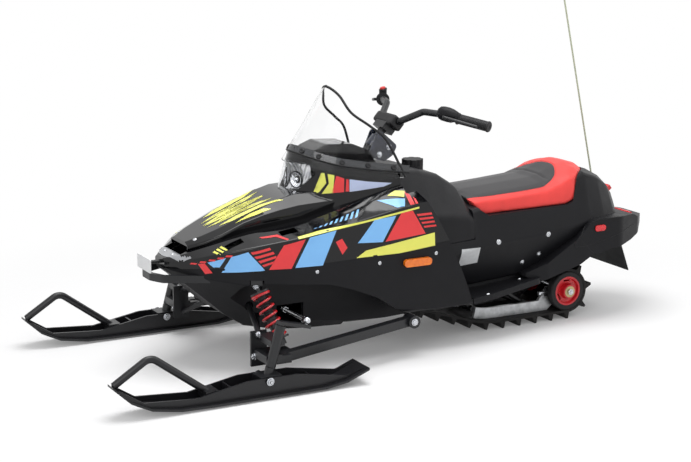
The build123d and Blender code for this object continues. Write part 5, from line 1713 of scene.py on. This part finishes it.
    def _adjusters(self) -> None:
        """Track-tension bolt beside each rail end, in its black bracket."""
        brackets, bolts = [], []
        for side in Side:
            y = side.value * 97.5
            path = [Vector((-690, y, self.axle[1])) * MM, Vector((-606, y, self.axle[1] - 3)) * MM]
            bolts.append(tube(path, 0.0042, 12))
            head = lathe([(0, 0), (0.0085, 0), (0.0085, 0.006), (0.0076, 0.007), (0, 0.007)], 6)
            bolts.append(moved(head, facing(path[1], path[1] - path[0])))
            plate = slab(rounded_rectangle(0.03, 0.03, 0.004), 0.004, 0.0008)
            spot = Vector((-640, side.value * 93.0, self.axle[1] - 2)) * MM
            brackets.append(moved(plate, facing(spot, Vector((0, side.value, 0)))))
        settle("track_adjusters", mesh_of("track_adjusters", joined(bolts), 40.0), ZINC, CHASSIS)
        settle("adjuster_brackets", mesh_of("adjuster_brackets", joined(brackets), 40.0), BLACK_STEEL, CHASSIS)


# ---------------------------------------------------------------- tail, plates and flag
@dataclass
class Tail:
    """Lamp strip over the wing, raised edge of its side panel and the pennant."""

    strip_x: float = -960.0
    strip_half: float = 118.0
    panel: tuple[Pair, ...] = (
        (-860, 352), (-800, 353), (-742, 349), (-699, 313), (-668, 272), (-730, 271), (-800, 285), (-873, 302),
        (-940, 312),
    )
    foot: Triple = (-972, -100, 340)
    lean: float = 12.4
    pole: float = 1500.0
    drop: float = 150.0
    fly: float = 230.0

    def build(self, skins: Skins) -> None:
        """Make the three pieces."""
        self._strip(skins)
        self._edge(skins)
        self._flag()

    def _strip(self, skins: Skins) -> None:
        """Half-round red lamp laid across the top of the wing."""
        points = []
        for step in range(25):
            y = -self.strip_half + 2 * self.strip_half * step / 24
            found = skins.from_above(self.strip_x, y, "rear_fender")
            if found:
                points.append(found[0] + Vector((0, 0, 0.0015)))
        shape = tube(points, 0.0062, 14)
        settle("tail_lamp_strip", mesh_of("tail_lamp_strip", shape, 50.0), RED_LENS, CHASSIS)

    def _edge(self, skins: Skins) -> None:
        """Raised bead round the wing's side panel."""
        shapes = []
        for side in Side:
            run = []
            for point in smooth_line([Vector((x, 0, z)) for x, z in self.panel], 10):
                found = skins.from_side(side, point.x, point.z, "rear_fender")
                if found:
                    run.append(found[0] - found[1] * 0.0006)
            shapes.append(tube(run, 0.0018, 8))
        settle("wing_panel_edge", mesh_of("wing_panel_edge", joined(shapes), 60.0), GRAINED_BLACK, CHASSIS)

    def _flag(self) -> None:
        """Three-cornered pennant with shallow waves, thickened a little."""
        up = Vector((math.sin(math.radians(self.lean)), 0, math.cos(math.radians(self.lean))))
        foot = Vector(self.foot)
        top = foot + up * (self.pole - 6)
        low = top - up * self.drop
        tip = (top + low) / 2 - Vector((self.fly, 0, 0))
        shape = bmesh.new()
        rows = []
        count = 30
        for i in range(count + 1):
            share = i / count
            upper, lower = top.lerp(tip, share), low.lerp(tip, share)
            row = []
            for j in range(13):
                point = upper.lerp(lower, j / 12)
                away = share * self.fly
                point.x -= 3.0 * (1 - share)
                point.y += 7.5 * share * math.sin(away / 34 + j * 0.09)
                row.append(shape.verts.new(point * MM))
            rows.append(row)
        for first, second in zip(rows, rows[1:]):
            for j in range(12):
                shape.faces.new((first[j], first[j + 1], second[j + 1], second[j]))
        bmesh.ops.remove_doubles(shape, verts=shape.verts, dist=0.00005)
        bmesh.ops.recalc_face_normals(shape, faces=shape.faces)
        piece = settle("pennant", mesh_of("pennant", shape, 180.0), FLAG_CLOTH, CHASSIS)
        thick = piece.modifiers.new("cloth", "SOLIDIFY")
        thick.thickness = 0.0006
        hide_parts("flag")


def dress_nodes() -> None:
    """Give every CAD node that stays its own finish."""
    for node, finish in NODE_FINISHES.items():
        piece = bpy.data.objects[node]
        for slot in piece.material_slots:
            slot.material = finish.material()
        LOG.info("%s: %s", node, finish.name)


def main() -> None:
    """Build the machine round the frame, piece by piece."""
    logging.basicConfig(level=logging.INFO, format="%(name)s %(message)s")
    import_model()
    skins = Skins()
    fittings = FittingTree()
    Studio().build()
    dress_nodes()
    Bodywork().build()
    Graphics(artwork=artwork()).build(skins)
    Fasteners().build(skins, fittings)
    Screen().build(skins, fittings)
    Bulbs().build()
    Saddle().build(fittings)
    Handlebar().build(skins, fittings)
    RunningGear().build(skins, fittings)
    Tail().build(skins)


if __name__ == "__main__":
    main()
